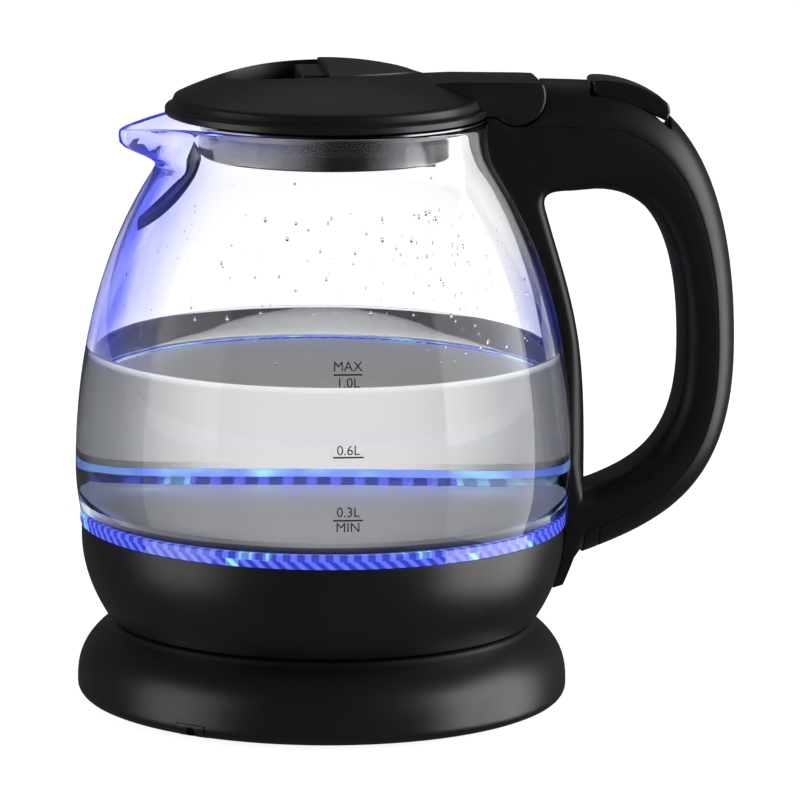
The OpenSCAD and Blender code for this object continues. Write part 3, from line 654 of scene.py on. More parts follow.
def water_with_painted_shade(level):
    """Clear water with a painted grey shade, darkest where a face is turned from the eye, standing in for
    the dark surroundings that the water shows.
    """
    r = Recipe("water_with_painted_shade")
    painted_shade_unevenness = r.grain(60, 2)
    z = r.axes(r.place())[2]
    wall = r.span(z, level, level - 0.002) * r.span(z, 0.0585, 0.061)
    side = r.span(r.edge_on(), 0.0, 0.2)
    # Painted shade: the water's colour goes from light grey to near black towards its edges, made uneven by
    # noise.
    painted_shade_through = r.blend(side * 0.95 + painted_shade_unevenness * 0.08, (0.7, 0.705, 0.71), (0.11, 0.115, 0.13))
    r.set(
        Base_Color=r.blend(wall, (0.99, 0.99, 0.995), painted_shade_through),
        Roughness=0.0,
        IOR=1.33,
        Transmission_Weight=1.0,
    )
    return r.material


def droplet_water():
    r = Recipe("droplet_water")
    tone = r.grain(5, 1)
    r.set(
        Base_Color=r.blend(tone, (0.94, 0.94, 0.95), (0.99, 0.99, 0.99)),
        Roughness=0.0,
        IOR=1.33,
        Transmission_Weight=1.0,
    )
    return r.material


def lit_seal(glow, spark):
    """Milky silicone with a painted blue glow on its inner face, standing in for the lamps' light."""
    r = Recipe("silicone_painted_glow")
    facing = r.node("ShaderNodeNewGeometry", out="Normal")
    inward = r.node("ShaderNodeVectorMath", [facing, r.place()], out="Value", operation="DOT_PRODUCT")
    # Painted glow: emission on the faces turned towards the kettle's axis, brighter in scattered beads.
    lit = r.span(inward, -0.01, -0.05)
    beads = r.span(r.grain(9, 2, 0.4), 0.4, 0.66)
    r.set(
        Base_Color=(0.5, 0.55, 0.75),
        Roughness=0.25 + beads * 0.1,
        Emission_Color=r.blend(lit, (0.0, 0.0, 0.0), r.blend(0.15 + beads * 0.6, glow, spark)),
        Emission_Strength=1.7,
    )
    return r.material


def lamp_ring(glow, spark, count):
    """A light guide: royal blue, brighter at each prism and at the lamps behind it."""
    r = Recipe("light_guide_blue")
    turn, _, z = r.whole_turn()
    along = turn * count
    upper = r.span(z, GLASS_Z * MM - 0.0021, GLASS_Z * MM - 0.0019)
    slant = (z - (SHELL_TOP + 1.25) * MM) * 260
    rope = (along + slant).math("PINGPONG", 0.5)
    dash = along.math("PINGPONG", 0.5)
    lower_light = r.span(rope, 0.16, 0.36)
    upper_light = 1 - r.span(dash, 0.16, 0.28) * 0.9
    light = lower_light * (1 - upper) + upper_light * upper
    cell = along.math("FLOOR")
    chance = r.node("ShaderNodeTexWhiteNoise", {"W": cell + upper * 0.37}, noise_dimensions="1D")
    hot = r.span(r.grain(26, 2), 0.42, 0.66)
    lit = r.span(chance + hot * 0.7, 0.9, 1.25) * (0.3 + light * 0.7)
    dark = tuple(c * 0.16 for c in glow)
    pale = tuple(0.06 + 0.9 * c for c in glow)
    body = r.blend(light, dark, pale)
    r.set(
        Base_Color=(0.03, 0.05, 0.45),
        Roughness=0.12,
        Coat_Weight=0.5,
        Emission_Color=r.blend(lit, body, spark),
        Emission_Strength=1.15,
    )
    return r.material


def lamp_lens():
    r = Recipe("lamp_lens")
    r.set(
        Base_Color=(0.3, 0.45, 1.0),
        Roughness=0.1,
        Emission_Color=r.blend(r.grain(1.2), (0.05, 0.12, 1.0), (0.4, 0.7, 1.0)),
        Emission_Strength=2.0,
    )
    return r.material


def mark_ink(colour):
    r = Recipe("mark_ink")
    worn = r.span(r.grain(0.5, 3, 0.7), 0.62, 0.8)
    r.set(Base_Color=r.blend(worn * 0.3, colour, (0.09, 0.09, 0.095)), Roughness=0.55 + worn * 0.1)
    return r.material


def fine_mesh():
    """Woven steel gauze, drawn as two crossing rows of wires."""
    r = Recipe("fine_steel_gauze")
    x, y, z = r.axes(r.place())
    across = (y * 5200).math("SINE")
    along = ((x + z) * 4200).math("SINE")
    wires = across.math("MAXIMUM", along)
    r.set(
        Base_Color=r.blend(r.span(wires, 0.1, 0.8), (0.03, 0.03, 0.04), (0.32, 0.33, 0.36)),
        Metallic=0.8,
        Roughness=0.32 + r.grain(4) * 0.1,
    )
    r.bump(wires, 0.12)
    return r.material


def circuit_board():
    r = Recipe("circuit_board")
    copper = r.span(r.grain(2.5, 1, 0.3, (1.0, 0.3, 1.0)), 0.5, 0.54)
    r.set(Base_Color=r.blend(copper, (0.01, 0.09, 0.035), (0.03, 0.2, 0.08)), Roughness=0.34 + copper * 0.1)
    r.bump(copper, 0.03)
    return r.material


# Settings -----------------------------------------------------------------------------------


def length(name, description, default, low_end, high_end):
    return FloatProperty(
        name=name, description=description, default=default, min=low_end, max=high_end, unit="LENGTH"
    )


def number(name, description, default, low_end, high_end):
    return IntProperty(name=name, description=description, default=default, min=low_end, max=high_end)


def tint(name, description, default):
    return FloatVectorProperty(
        name=name, description=description, subtype="COLOR", size=3, default=default, min=0, max=1
    )


class KettleSizes(bpy.types.PropertyGroup):
    water_level: length("Water level", "Height of the water above the table", 0.1106, 0.07, 0.14)
    seam: length("Seam", "Rounding along the handle's seams", 0.00045, 0.0001, 0.001)
    grip_round: length("Grip rounding", "Rounding of the handle towards the fingers", 0.0085, 0.003, 0.012)
    prisms: number("Prisms", "Prisms in one row of the light ring", 111, 60, 160)
    droplets: number("Droplets", "Droplets inside the glass", 210, 0, 400)
    mark_height: length("Mark height", "Height of the level marks' figures", 0.0029, 0.001, 0.006)


class KettleColours(bpy.types.PropertyGroup):
    plastic: tint("Plastic", "Body plastic", (0.0045, 0.0045, 0.0052))
    handle: tint("Handle", "Handle plastic", (0.0028, 0.0028, 0.0036))
    glow: tint("Glow", "Light of the ring", (0.045, 0.075, 0.88))
    spark: tint("Spark", "Brightest points of the ring", (0.28, 0.72, 1.0))
    ink: tint("Ink", "Level marks", (0.012, 0.012, 0.013))
    floor: tint("Floor", "Floor under the kettle", (0.9, 0.9, 0.9))


def sizes():
    return bpy.context.scene.kettle_sizes


def colours():
    return bpy.context.scene.kettle_colours


# Pieces -------------------------------------------------------------------------------------


class KETTLE_OT_finishes(bpy.types.Operator):
    """Makes every finish and gives the frame's own pieces theirs"""

    bl_idname = "kettle.finishes"
    bl_label = "Finishes"

    def execute(self, context):
        c = colours()
        body, grip = tuple(c.plastic), tuple(c.handle)
        FINISHES.update(
            body=moulded("satin_black", body, 0.36),
            handle=moulded("handle_black", grip, 0.41, 0.35, 0.008),
            gloss=moulded("rocker_black", grip, 0.24, 0.6, 0.005, coat=0.25),
            insert=moulded("grip_grey", (0.024, 0.024, 0.025), 0.42, 0.5, 0.015),
            collar=plated_collar(),
            under=moulded("inner_black", (0.008, 0.008, 0.009), 0.45),
            pale=moulded("pale_moulding", (0.62, 0.6, 0.54), 0.42, wear=0.1),
            glass=jug_glass(tuple(c.glow)),
            water=water_with_painted_shade(sizes().water_level),
            drop=droplet_water(),
            lit_seal=lit_seal(tuple(c.glow), tuple(c.spark)),
            ring=lamp_ring(tuple(c.glow), tuple(c.spark), sizes().prisms),
            lamp=lamp_lens(),
            rubber=soft_rubber("grey_rubber", (0.03, 0.03, 0.032)),
            lid_seal=soft_rubber("dark_silicone", (0.05, 0.05, 0.052)),
            # The heating plate's lift is a painted glow, standing in for the light that reaches it inside
            # the jug.
            plate=metal("brushed_plate_painted_glow", (0.55, 0.55, 0.56), 0.46, turned_lines=True, lift=0.58),
            screw=metal("screw_steel", (0.55, 0.55, 0.57), 0.26),
            element=metal("element_sheath", (0.24, 0.24, 0.26), 0.5),
            spreader=metal("cast_plate", (0.55, 0.55, 0.56), 0.55, grain=1.4),
            disc=metal("bimetal_disc", (0.6, 0.52, 0.4), 0.34),
            brass=metal("contact_brass", (0.78, 0.55, 0.22), 0.28),
            board=circuit_board(),
            gauze=fine_mesh(),
            sleeve=moulded("lead_sleeve", (0.32, 0.03, 0.025), 0.4, wear=0.1),
            ink=mark_ink(tuple(c.ink)),
        )
        by_finish = {
            "under": "switch_housing base_plate socket_body bottom_cover lid_underplate steam_duct "
            "filter_frame",
            "body": "base_cover lower_shell lid_cover cord_gland neck_collar",
            "handle": "handle_bracket handle_inner handle_outer handle_end_cap",
            "gloss": "switch_rocker",
            "insert": "lid_grip",
            "rubber": "base_feet",
            "lid_seal": "lid_seal",
            "lit_seal": "glass_seal",
            "pale": "socket_guard control_unit",
            "glass": "glass_jug",
            "ring": "light_ring",
            "lamp": "leds",
            "board": "led_board",
            "plate": "heating_plate",
            "spreader": "heat_spreader",
            "element": "heating_element",
            "disc": "dry_boil_discs steam_disc",
            "brass": "live_contact neutral_contact earth_contact live_pin neutral_ring",
            "screw": "base_screws bottom_screws handle_screws switch_pin hinge_pin lid_screws "
            "element_terminals earth_ring",
            "gauze": "filter_mesh",
            "sleeve": "switch_leads",
        }
        for finish, nodes in by_finish.items():
            for node in nodes.split():
                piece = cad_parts[node]
                piece.data.materials.clear()
                piece.data.materials.append(FINISHES[finish])
        return {"FINISHED"}


def base_outline():
    """The power base's cover, from the foot round the outside and back along the inside."""
    foot = [
        (BASE_R - 3.2 * (1 - math.sin(a)), 1.5 + 3.5 * (1 - math.cos(a)))
        for a in [math.radians(15 * i) for i in range(6)]
    ]
    side = []
    for i in range(29):
        k = i / 28
        side.append((BASE_R - (BASE_R - FOOT_R) * k**2.75, 5 + 19 * k))
    shelf = bend([(FOOT_R, 24), (FOOT_R - 0.4, 25.2), (FOOT_R - 1.2, 25.7), (FOOT_R - 2.6, 25.7)], 4, 1)
    inner = [(p[0] - SKIN, p[1] - SKIN * k / 28) for k, p in enumerate(side)][::-1]
    return (
        foot
        + side
        + shelf
        + [(24, 25.7), (16.9, 25.7), (16.7, 25.5), (16.7, 23.5), (FOOT_R - 4.2, 23.5)]
        + inner
        + [(BASE_R - 5.4, 1.5)]
    )


class KETTLE_OT_power_base(bpy.types.Operator):
    """Turns the power base's cover and puts the slot for its lead in it"""

    bl_idname = "kettle.power_base"
    bl_label = "Power base"

    def execute(self, context):
        cover = turned("base_cover_shell", base_outline(), 192)
        slot = block("slot", (BASE_R - 15, BASE_R + 5), (-5.2, 5.2), (0, 5.7))
        turn = Matrix.Rotation(LEAD_TURN, 4, "Z")
        slot.data.transform(turn)
        carve(cover, slot)
        finished(cover, "power_base", "black_plastic", "body", "base_cover")
        gland = block("cord_gland_boot", (BASE_R - 12, BASE_R + 2), (-5, 5), (0.8, 5.5))
        gland.data.transform(turn)
        skin = turned("skin", [(0, 0)] + [(r + 0.25, z) for r, z in base_outline()[:35]] + [(0, 24)], 192)
        carve(gland, skin, way="INTERSECT")
        bore = rod("bore", 0, 3.1, 1.6, 200, 48)
        bore.data.transform(Matrix.Rotation(LEAD_TURN - math.pi / 2, 4, "Z"))
        keep = block("keep", (0, 100), (-20, 20), (0, 20))
        keep.data.transform(turn)
        carve(bore, keep, way="INTERSECT")
        carve(gland, bore)
        round_edges(gland, 0.4, 2, 50)
        finished(gland, "power_base", "black_plastic", "body", "cord_gland")
        return {"FINISHED"}


def shell_radius(z):
    return SHELL_R - (SHELL_R - FOOT_R) * (1 - min((z - JUG_Z) / 26, 1)) ** 2


class KETTLE_OT_lower_shell(bpy.types.Operator):
    """Turns the jug's lower shell and its pressed heating plate"""

    bl_idname = "kettle.lower_shell"
    bl_label = "Lower shell"

    def execute(self, context):
        side = [(shell_radius(z), z) for z in [JUG_Z + 1.2 + 0.8 * i for i in range(32)]]
        inner = [(r - SKIN, z) for r, z in side if z < 48][::-1]
        foot = bend([(FOOT_R - 2.2, JUG_Z), (FOOT_R - 0.8, JUG_Z), (FOOT_R + 0.2, JUG_Z + 0.4), side[0]], 4)
        outline = (
            [(58, JUG_Z)]
            + foot
            + side[1:]
            + [
                (SHELL_R, SHELL_TOP - 0.5),
                (SHELL_R - 0.15, SHELL_TOP - 0.15),
                (SHELL_R - 0.5, SHELL_TOP),
                (SHELL_R - 2.2, SHELL_TOP),
                (SHELL_R - 2.2, 52),
                (68.6, 52),
                (68.6, 50.4),
            ]
            + inner
            + [(63.3, JUG_Z + 4.5), (50, JUG_Z + 4.5), (50, JUG_Z + 2.3), (58, JUG_Z + 2.3)]
        )
        shell = turned("jug_lower_shell", outline, 192)
        finished(shell, "jug", "black_plastic", "body", "lower_shell")
        r, z = PLATE_R, PLATE_Z
        dish = (
            [(0, z - 0.8), (r, z - 0.8), (r, z + 0.4)]
            + [(r - 0.3, z + 0.6), (r - 0.8, z + 0.5), (r - 1.2, z + 0.2), (r - 1.8, z)]
            + [(r - 12, z - 0.05), (r - 14, z + 0.35), (r - 30, z + 0.45), (0, z + 0.45)]
        )
        plate = turned("heating_plate_disc", dish, 160)
        finished(plate, "jug", "stainless", "plate", "heating_plate")
        return {"FINISHED"}


class KETTLE_OT_light_ring(bpy.types.Operator):
    """Turns the light ring and sets two rows of prisms round it"""

    bl_idname = "kettle.light_ring"
    bl_label = "Light ring"

    def execute(self, context):
        top, foot = GLASS_Z, SHELL_TOP
        outline = (
            [(PLATE_R - 1, 54.4), (PLATE_R, 54.4), (PLATE_R, foot), (RING_R - 0.9, foot)]
            + [(RING_R - 0.45, foot + 0.3), (RING_R - 0.45, top - 0.3), (RING_R - 0.9, top)]
            + [(PLATE_R + 0.4, top), (PLATE_R + 0.4, foot + 1), (PLATE_R - 1, foot + 1)]
        )
        ring = turned("light_ring_band", outline, 222)
        count = sizes().prisms
        half = math.pi * RING_R / count
        rows = []
        for z, height, lean, width in (
            (foot + 1.25, 2.0, 0.8, 0.86),
            (foot + 3.25, 1.3, 0.0, 0.66),
        ):
            clear_picks()
            bpy.ops.mesh.primitive_cube_add(size=1)
            prism = named("prism")
            for v in prism.data.vertices:
                along = v.co.y * 2 * half * width + v.co.z * lean * 1.2
                v.co = Vector((RING_R - 0.75 + v.co.x * 0.7, along, z + v.co.z * height)) * MM
            bpy.ops.object.mode_set(mode="EDIT")
            pick_faces(prism, lambda face: face.normal.x > 0.7)
            bpy.ops.mesh.inset(thickness=0.0005, depth=0.00042)
            bpy.ops.mesh.select_all(action="SELECT")
            bpy.ops.mesh.spin(
                steps=count, dupli=True, angle=math.tau, center=(0, 0, 0), axis=(0, 0, 1)
            )
            tidy()
            rows.append(prism)
        ring = joined("light_ring_prisms", [ring, *rows])
        finished(ring, "jug", "light_guide", "ring", "light_ring", angle=22)
        return {"FINISHED"}


class KETTLE_OT_glass(bpy.types.Operator):
    """Draws the blown glass jug with its pouring lip"""

    bl_idname = "kettle.glass"
    bl_label = "Glass jug"

    def execute(self, context):
        rings = [glass_loop(p.x, p.y) for p in GLASS_SIDE]
        mid, bead = NECK_R - WALL / 2, WALL / 2
        for i in range(9):
            a = math.pi * i / 8
            rings.append(glass_loop(mid + bead * math.cos(a), RIM_Z - bead + bead * math.sin(a)))
        rings += [glass_loop(p.x - WALL, p.y) for p in reversed(GLASS_SIDE)]
        jug = lofted("jug_glass_wall", rings, looped=True)
        finished(jug, "jug", "clear_glass", "glass", "glass_jug", angle=60)
        return {"FINISHED"}


class KETTLE_OT_water(bpy.types.Operator):
    """Fills the jug and scatters droplets on the inside of the glass"""

    bl_idname = "kettle.water"
    bl_label = "Water"

    def execute(self, context):
        level = sizes().water_level / MM
        low_z = PLATE_Z - 0.3
        side = [(p.x - WALL + 0.12, p.y) for p in GLASS_SIDE if GLASS_Z + 2.5 < p.y < level - 1.5]
        top_r = glass_radius(level) - WALL + 0.12
        outline = (
            [(0, low_z), (PLATE_R - 14, low_z), (PLATE_R - 0.6, low_z), (PLATE_R - 0.2, low_z + 1.3)]
            + [(PLATE_R + 0.6, GLASS_Z + 0.4)]
            + side
            + [(top_r, level + 0.5), (top_r - 0.7, level + 0.12), (top_r - 2.2, level), (0, level)]
        )
        water = turned("water_fill", outline, 160)
        finished(water, "jug", "clear_glass", "water", angle=60)
        clear_picks()
        bpy.ops.mesh.primitive_uv_sphere_add(segments=8, ring_count=6, radius=1)
        seed = named("droplet_seed")
        apply_with(seed, "SUBSURF", levels=1, render_levels=1)
        pick(seed)
        rng = random.Random(41)
        drops = []
        for _ in range(sizes().droplets):
            turn = rng.choice(
                [rng.uniform(-2.6, -0.5), rng.uniform(-1.3, -0.6), rng.uniform(-3.1, 3.1)]
            )
            z = level + 4 + (RIM_Z - 26 - level) * rng.random() ** 0.8
            r = glass_radius(z) - WALL
            size = rng.choice([0.22, 0.3, 0.42, 0.55]) * rng.uniform(0.7, 1.2)
            out = Matrix.Rotation(turn, 4, "Z") @ Matrix.Translation(Vector((r, 0, z)) * MM)
            shape = Matrix.Diagonal(
                (size * 0.42 * MM, size * MM, size * rng.uniform(0.9, 1.7) * MM, 1)
            )
            drop = seed.copy()
            drop.data = seed.data.copy()
            bpy.context.collection.objects.link(drop)
            drop.data.transform(out @ shape)
            drops.append(drop)
        bpy.data.objects.remove(seed)
        if drops:
            beads = joined("water_droplets", drops)
            finished(beads, "jug", "clear_glass", "drop", angle=60)
        return {"FINISHED"}


class KETTLE_OT_level_marks(bpy.types.Operator):
    """Prints the level marks on the front of the glass"""

    bl_idname = "kettle.level_marks"
    bl_label = "Level marks"

    def execute(self, context):
        tall = sizes().mark_height
        marks = []
        for words, z in (
            ("MAX", 117.4),
            ("1.0L", 112.6),
            ("0.6L", 92.6),
            ("0.3L", 73.9),
            ("MIN", 69.2),
        ):
            clear_picks()
            bpy.ops.object.text_add(location=(0, 0, 0))
            text = bpy.context.object
            text.data.body = words
            text.data.align_x = "CENTER"
            text.data.align_y = "CENTER"
            text.data.size = tall / 0.7
            text.data.resolution_u = 4
            text.data.offset = -0.00001
            bpy.ops.object.convert(target="MESH")
            text = bpy.context.object
            for v in text.data.vertices:
                v.co = Vector((v.co.x, 0, v.co.y + z * MM))
            marks.append(text)
        for z, half in ((115.1, 4.3), (90.6, 4.6), (71.5, 4.5)):
            bar = block("bar", (-half, half), (-0.05, 0.05), (z - 0.22, z + 0.22))
            pick(bar)
            edit_all()
            bpy.ops.mesh.subdivide(number_cuts=9)
            pick_faces(bar, lambda face: face.calc_center_median().y >= -0.00004)
            bpy.ops.mesh.delete(type="FACE")
            bpy.ops.object.mode_set(mode="OBJECT")
            marks.append(bar)
        print_ = joined("level_mark_print", marks)
        edit_all()
        bpy.ops.mesh.quads_convert_to_tris()
        bpy.ops.object.mode_set(mode="OBJECT")
        for v in print_.data.vertices:
            r = (glass_radius(v.co.z / MM) + 0.03) * MM
            v.co.y = -math.sqrt(r * r - v.co.x**2)
        apply_with(print_, "SOLIDIFY", thickness=0.00004, offset=0.0)
        finished(print_, "jug", "gloss_black", "ink")
        return {"FINISHED"}


class KETTLE_OT_collar(bpy.types.Operator):
    """Makes the neck collar with its skirt and the framed filter behind the lip"""

    bl_idname = "kettle.collar"
    bl_label = "Neck collar and filter"

    def execute(self, context):
        r = high("neck_collar", 1)
        inner, skirt = 36.9, 38.4
        low_z, top = COLLAR_LOW, COLLAR_TOP
        tube = [
            (inner, low_z),
            (skirt - 0.5, low_z),
            (skirt, low_z + 0.5),
            (skirt, RIM_Z - 4),
            (skirt + 0.4, RIM_Z - 3.4),
            (skirt + 0.4, top - 0.4),
            (skirt, top),
            (inner, top),
        ]
        collar = turned("neck_collar_skirt", tube, 160)
        brim = turned(
            "brim",
            [
                (skirt - 0.3, RIM_Z - 2),
                (47.1, RIM_Z - 2),
                (47.1, RIM_Z + 0.05),
                (r - 0.3, RIM_Z + 0.05),
                (r, RIM_Z + 0.3),
                (r, top),
                (skirt - 0.3, top),
            ],
            160,
        )
        opening = block("opening", (-70, -33), (-31, 31), (RIM_Z - 6, top + 5))
        carve(brim, opening)
        carve(collar, brim, way="UNION")
        finished(collar, "jug", "black_plastic", "collar", "neck_collar")

        top_point = Vector((-38.8, RIM_Z - 9.9))
        low_point = Vector((-59.6, MOUTH_Z - 14))
        line = bend([top_point, top_point + Vector((-3, -9)), low_point + Vector((12, 8)), low_point], 20)
        half, rail = 12.0, 2.4

        def edge(i, side, inset, lift):
            p, k = line[i], i / 20
            round_end = math.sqrt(max(0.0, 1 - max(0.0, (k - 0.42) / 0.58) ** 2.4))
            y = side * (half - inset) * (0.06 + 0.94 * round_end)
            return (p.x, y, p.y + lift)

        rim = [(i, 1) for i in range(20)] + [(i, -1) for i in range(19, -1, -1)]
        rings = []
        for i, side in rim:
            k = i / 20
            inset = rail * (1 - 0.2 * k)
            rings.append(
                [
                    edge(i, side, 0, 1.3),
                    edge(i, side, 0, -1.3),
                    edge(i, side, inset, -1.3),
                    edge(i, side, inset, 1.3),
                ]
            )
        rings.append(rings[0])
        rail_piece = lofted("filter_frame_rail", rings, capped=False)
        round_edges(rail_piece, 0.35, 2)
        finished(rail_piece, "jug", "dark_plastic", "under", "filter_frame")
        return {"FINISHED"}


def pair_seam(outer, inner):
    return outer + (inner - outer) * SEAM_SHARE


def handle_stations(count=30):
    top = list(zip(bend(TOP_BEND, count), bend(GAP_TOP_BEND, count)))
    lower = list(zip(bend(LOW_BEND, count, 1), bend(GAP_LOW_BEND, count, 1)))
    return top, lower


def crown(start, end, half, round_off, steps=9):
    """A section from the seam over a rounded crown and back to the seam on the other side."""
    rise = (end - start).length
    out = (end - start) / rise
    reach = min(round_off, rise * 0.92, half * 0.92)
    points = [(half, 0.0), (half, (rise - reach) * 0.5)]
    for i in range(steps + 1):
        a = math.pi / 2 * i / steps
        points.append((half - reach + reach * math.cos(a), rise - reach + reach * math.sin(a)))
    across = [(0.0, rise)] if half - reach > 0.5 else []
    points = points + across + [(-y, up) for y, up in reversed(points)]
    return [(start.x + out.x * up, y, start.y + out.y * up) for y, up in points]


def back_crown(start, end, half, steps=26):
    """A fuller section for the handle's back, flat on its flanks and domed across."""
    rise = (end - start).length
    out = (end - start) / rise
    ring = []
    for i in range(steps + 1):
        a = math.pi * i / steps
        c, s = math.cos(a), max(0.0, math.sin(a))
        y = half * c
        up = 0.12 + (rise - 0.12) * s**1.35
        ring.append((start.x + out.x * up, y, start.y + out.y * up))
    return ring


def arm_seat():
    """The round room in the handle for the end of the lid's arm."""
    return rod("seat", PIN.x, PIN.z, ARM_ROUND + 0.35, 20, 128)


class KETTLE_OT_handle(bpy.types.Operator):
    """Makes the handle's frame with its strap, the back shell and the end cap"""

    bl_idname = "kettle.handle"
    bl_label = "Handle"

    def jug_room(self):
        """What the strap has to clear: the jug's outside with a hair of room."""
        gap = 0.25
        side = [(shell_radius(z) + gap, z) for z in [JUG_Z + 1.5 * i for i in range(20)]]
        glass = [(p.x + gap, p.y) for p in GLASS_SIDE if p.y > GLASS_Z + 2]
        outline = (
            [(0, 0), (FOOT_R, 0)]
            + side
            + [(SHELL_R + gap, SHELL_TOP), (RING_R + gap, SHELL_TOP + 0.1), (RING_R + gap, GLASS_Z + 0.5)]
            + glass
            + [(NECK_R + gap, RIM_Z + 20), (0, RIM_Z + 20)]
        )
        return turned("jug_room", outline, 160)

    def execute(self, context):
        half = HANDLE_HALF
        top, lower = handle_stations()
        first = (Vector((75.2, ARM_TOP - 0.6)), Vector((75.2, GAP_TOP_Z)))

        seam_line = [pair_seam(o, i) for o, i in [first] + top + lower]
        gap_line = [i for o, i in [first] + top + lower]
        pairs = list(zip(seam_line, gap_line))
        tail = Vector(TAIL_POINT)
        pairs += [(Vector(p), tail) for p in TAIL_OUTS]
        strap = bend(STRAP_BEND, 26)
        pairs.append((Vector((64, 48)), (tail + strap[0]) / 2))
        for p in strap:
            pairs.append((Vector((p.x - 12, p.y)), p))
        roof, seam = LID_Z - 0.15, seam_line[0].y
        outs = [(44.7, 160), (43.3, 168), (42, 176), (42, roof), (50, roof), (58, roof), (63.4, roof)]
        outs += [(66, seam + 0.4), (69, seam + 0.2), (72, seam + 0.1)]
        for out, p in zip(outs, bend(CORNER_BEND, 10, 1)):
            pairs.append((Vector(out), p))
        grip_round = sizes().grip_round / MM
        rings = []
        for seam, gap in pairs:
            near_strap = ease((84 - gap.x) / 6)
            reach = grip_round + (3.4 - grip_round) * near_strap
            width = half - 0.5 * near_strap
            rings.append(crown(seam, gap, width, reach))
        rings.append(rings[0])
        body = lofted("handle_frame", rings, capped=False)
        pick(body)
        edit_all()
        bpy.ops.mesh.normals_make_consistent(inside=False)
        bpy.ops.object.mode_set(mode="OBJECT")
        carve(body, self.jug_room(), arm_seat())
        round_edges(body, sizes().seam / MM, 2, 50)
        finished(body, "jug", "handle_plastic", "handle", "handle_bracket", "handle_inner")

        lead_in = [
            (Vector((x, ARM_TOP - 0.03 * (x - 59) - 0.02)), Vector((x, GAP_TOP_Z)))
            for x in (59, 66, 72, 77)
        ]
        back_pairs = lead_in + top[1:] + lower[:-2]
        sections = [back_crown(pair_seam(o, i), o, half) for o, i in back_pairs]
        back = lofted("handle_back_shell", sections, capped=True)
        carve(back, arm_seat(), rocker_pocket())
        round_edges(back, sizes().seam / MM, 2, 50)
        finished(back, "jug", "handle_plastic", "handle", "handle_outer")

        ends = lower[-3:]
        cap_rings = [back_crown(pair_seam(o, i), o, half) for o, i in ends]
        shift = 0.25
        cap_rings = [[(x - shift, y, z - shift * 0.4) for x, y, z in ring] for ring in cap_rings]
        cap = lofted("handle_end_cap_shell", cap_rings, capped=True)
        round_edges(cap, sizes().seam / MM, 2, 50)
        finished(cap, "jug", "handle_plastic", "handle", "handle_end_cap")
        return {"FINISHED"}


ROCKER_SHARE = 0.27


def rocker_line(steps=16):
    """The rocker's top, which stands proud of the handle towards its rear."""
    whole = bend(TOP_BEND, 600)
    found = []
    for i in range(steps + 1):
        k = i / steps
        p = whole[int(600 * ROCKER_SHARE * k)]
        found.append(Vector((p.x, p.y + 0.3 + 2.9 * k**0.6)))
    return found


def rocker_pocket():
    line = rocker_line()
    a, b = line[0].x - 0.9, line[-1].x + 0.9
    outline = [(a, ARM_TOP - 6.2), (a, ARM_TOP + 5), (b, ARM_TOP + 5), (b, line[-1].y - 7.8)]
    return cut_out("pocket", outline, ROCKER_HALF + 0.5)


class KETTLE_OT_rocker(bpy.types.Operator):
    """Makes the rocker switch's paddle"""

    bl_idname = "kettle.rocker"
    bl_label = "Rocker switch"

    def execute(self, context):
        line = rocker_line()
        end = line[-1]
        outline = [tuple(p) for p in line]
        outline += [(end.x + 0.6, end.y - 2.6), (end.x - 0.6, end.y - 5.4)]
        outline += [(PIN.x + 38.7, ARM_TOP - 9), (PIN.x + 37.4, ARM_TOP - 13), (PIN.x + 33.6, ARM_TOP - 13)]
        outline += [(PIN.x + 32.3, ARM_TOP - 8), (line[0].x + 1.6, line[0].y - 5.4)]
        outline += [(line[0].x, line[0].y - 3)]
        paddle = cut_out("rocker_paddle", outline, ROCKER_HALF)
        round_edges(paddle, 1.0, 4, 30)
        finished(paddle, "rocker", "gloss_black", "gloss", "switch_rocker")
        return {"FINISHED"}


DOME_R = LID_R - 2.9
DOME_LOW = LID_Z + 5.6
DOME_RISE = DOME_TOP - DOME_LOW
DOME_BALL = (DOME_R**2 + DOME_RISE**2) / (2 * DOME_RISE)
WELL_X, WELL_LEN, WELL_HALF = -3.0, 31.0, 22.0
WELL_FLOOR = DOME_TOP - 9.5
LENS_R = (WELL_LEN**2 + WELL_HALF**2) / (2 * WELL_HALF)


def dome_z(r):
    return DOME_TOP - DOME_BALL + math.sqrt(DOME_BALL**2 - r * r)


def lens_prism(name, grow, low_z, high_z, x_low=-60.0, count=36):
    """An upright lens-shaped prism, the outline of the finger well."""
    half_turn = math.asin(WELL_LEN / LENS_R)
    points = []
    for side in (1, -1):
        for i in range(count):
            a = -half_turn + 2 * half_turn * i / count
            x = LENS_R * math.sin(a)
            y = LENS_R * math.cos(a) - (LENS_R - WELL_HALF) + grow
            points.append((side * x + WELL_X, side * max(y, 0.02)))
    outline = [(max(x, x_low), y, low_z) for x, y in points]
    return extruded(name, outline, (0, 0, high_z - low_z), 0.00001)


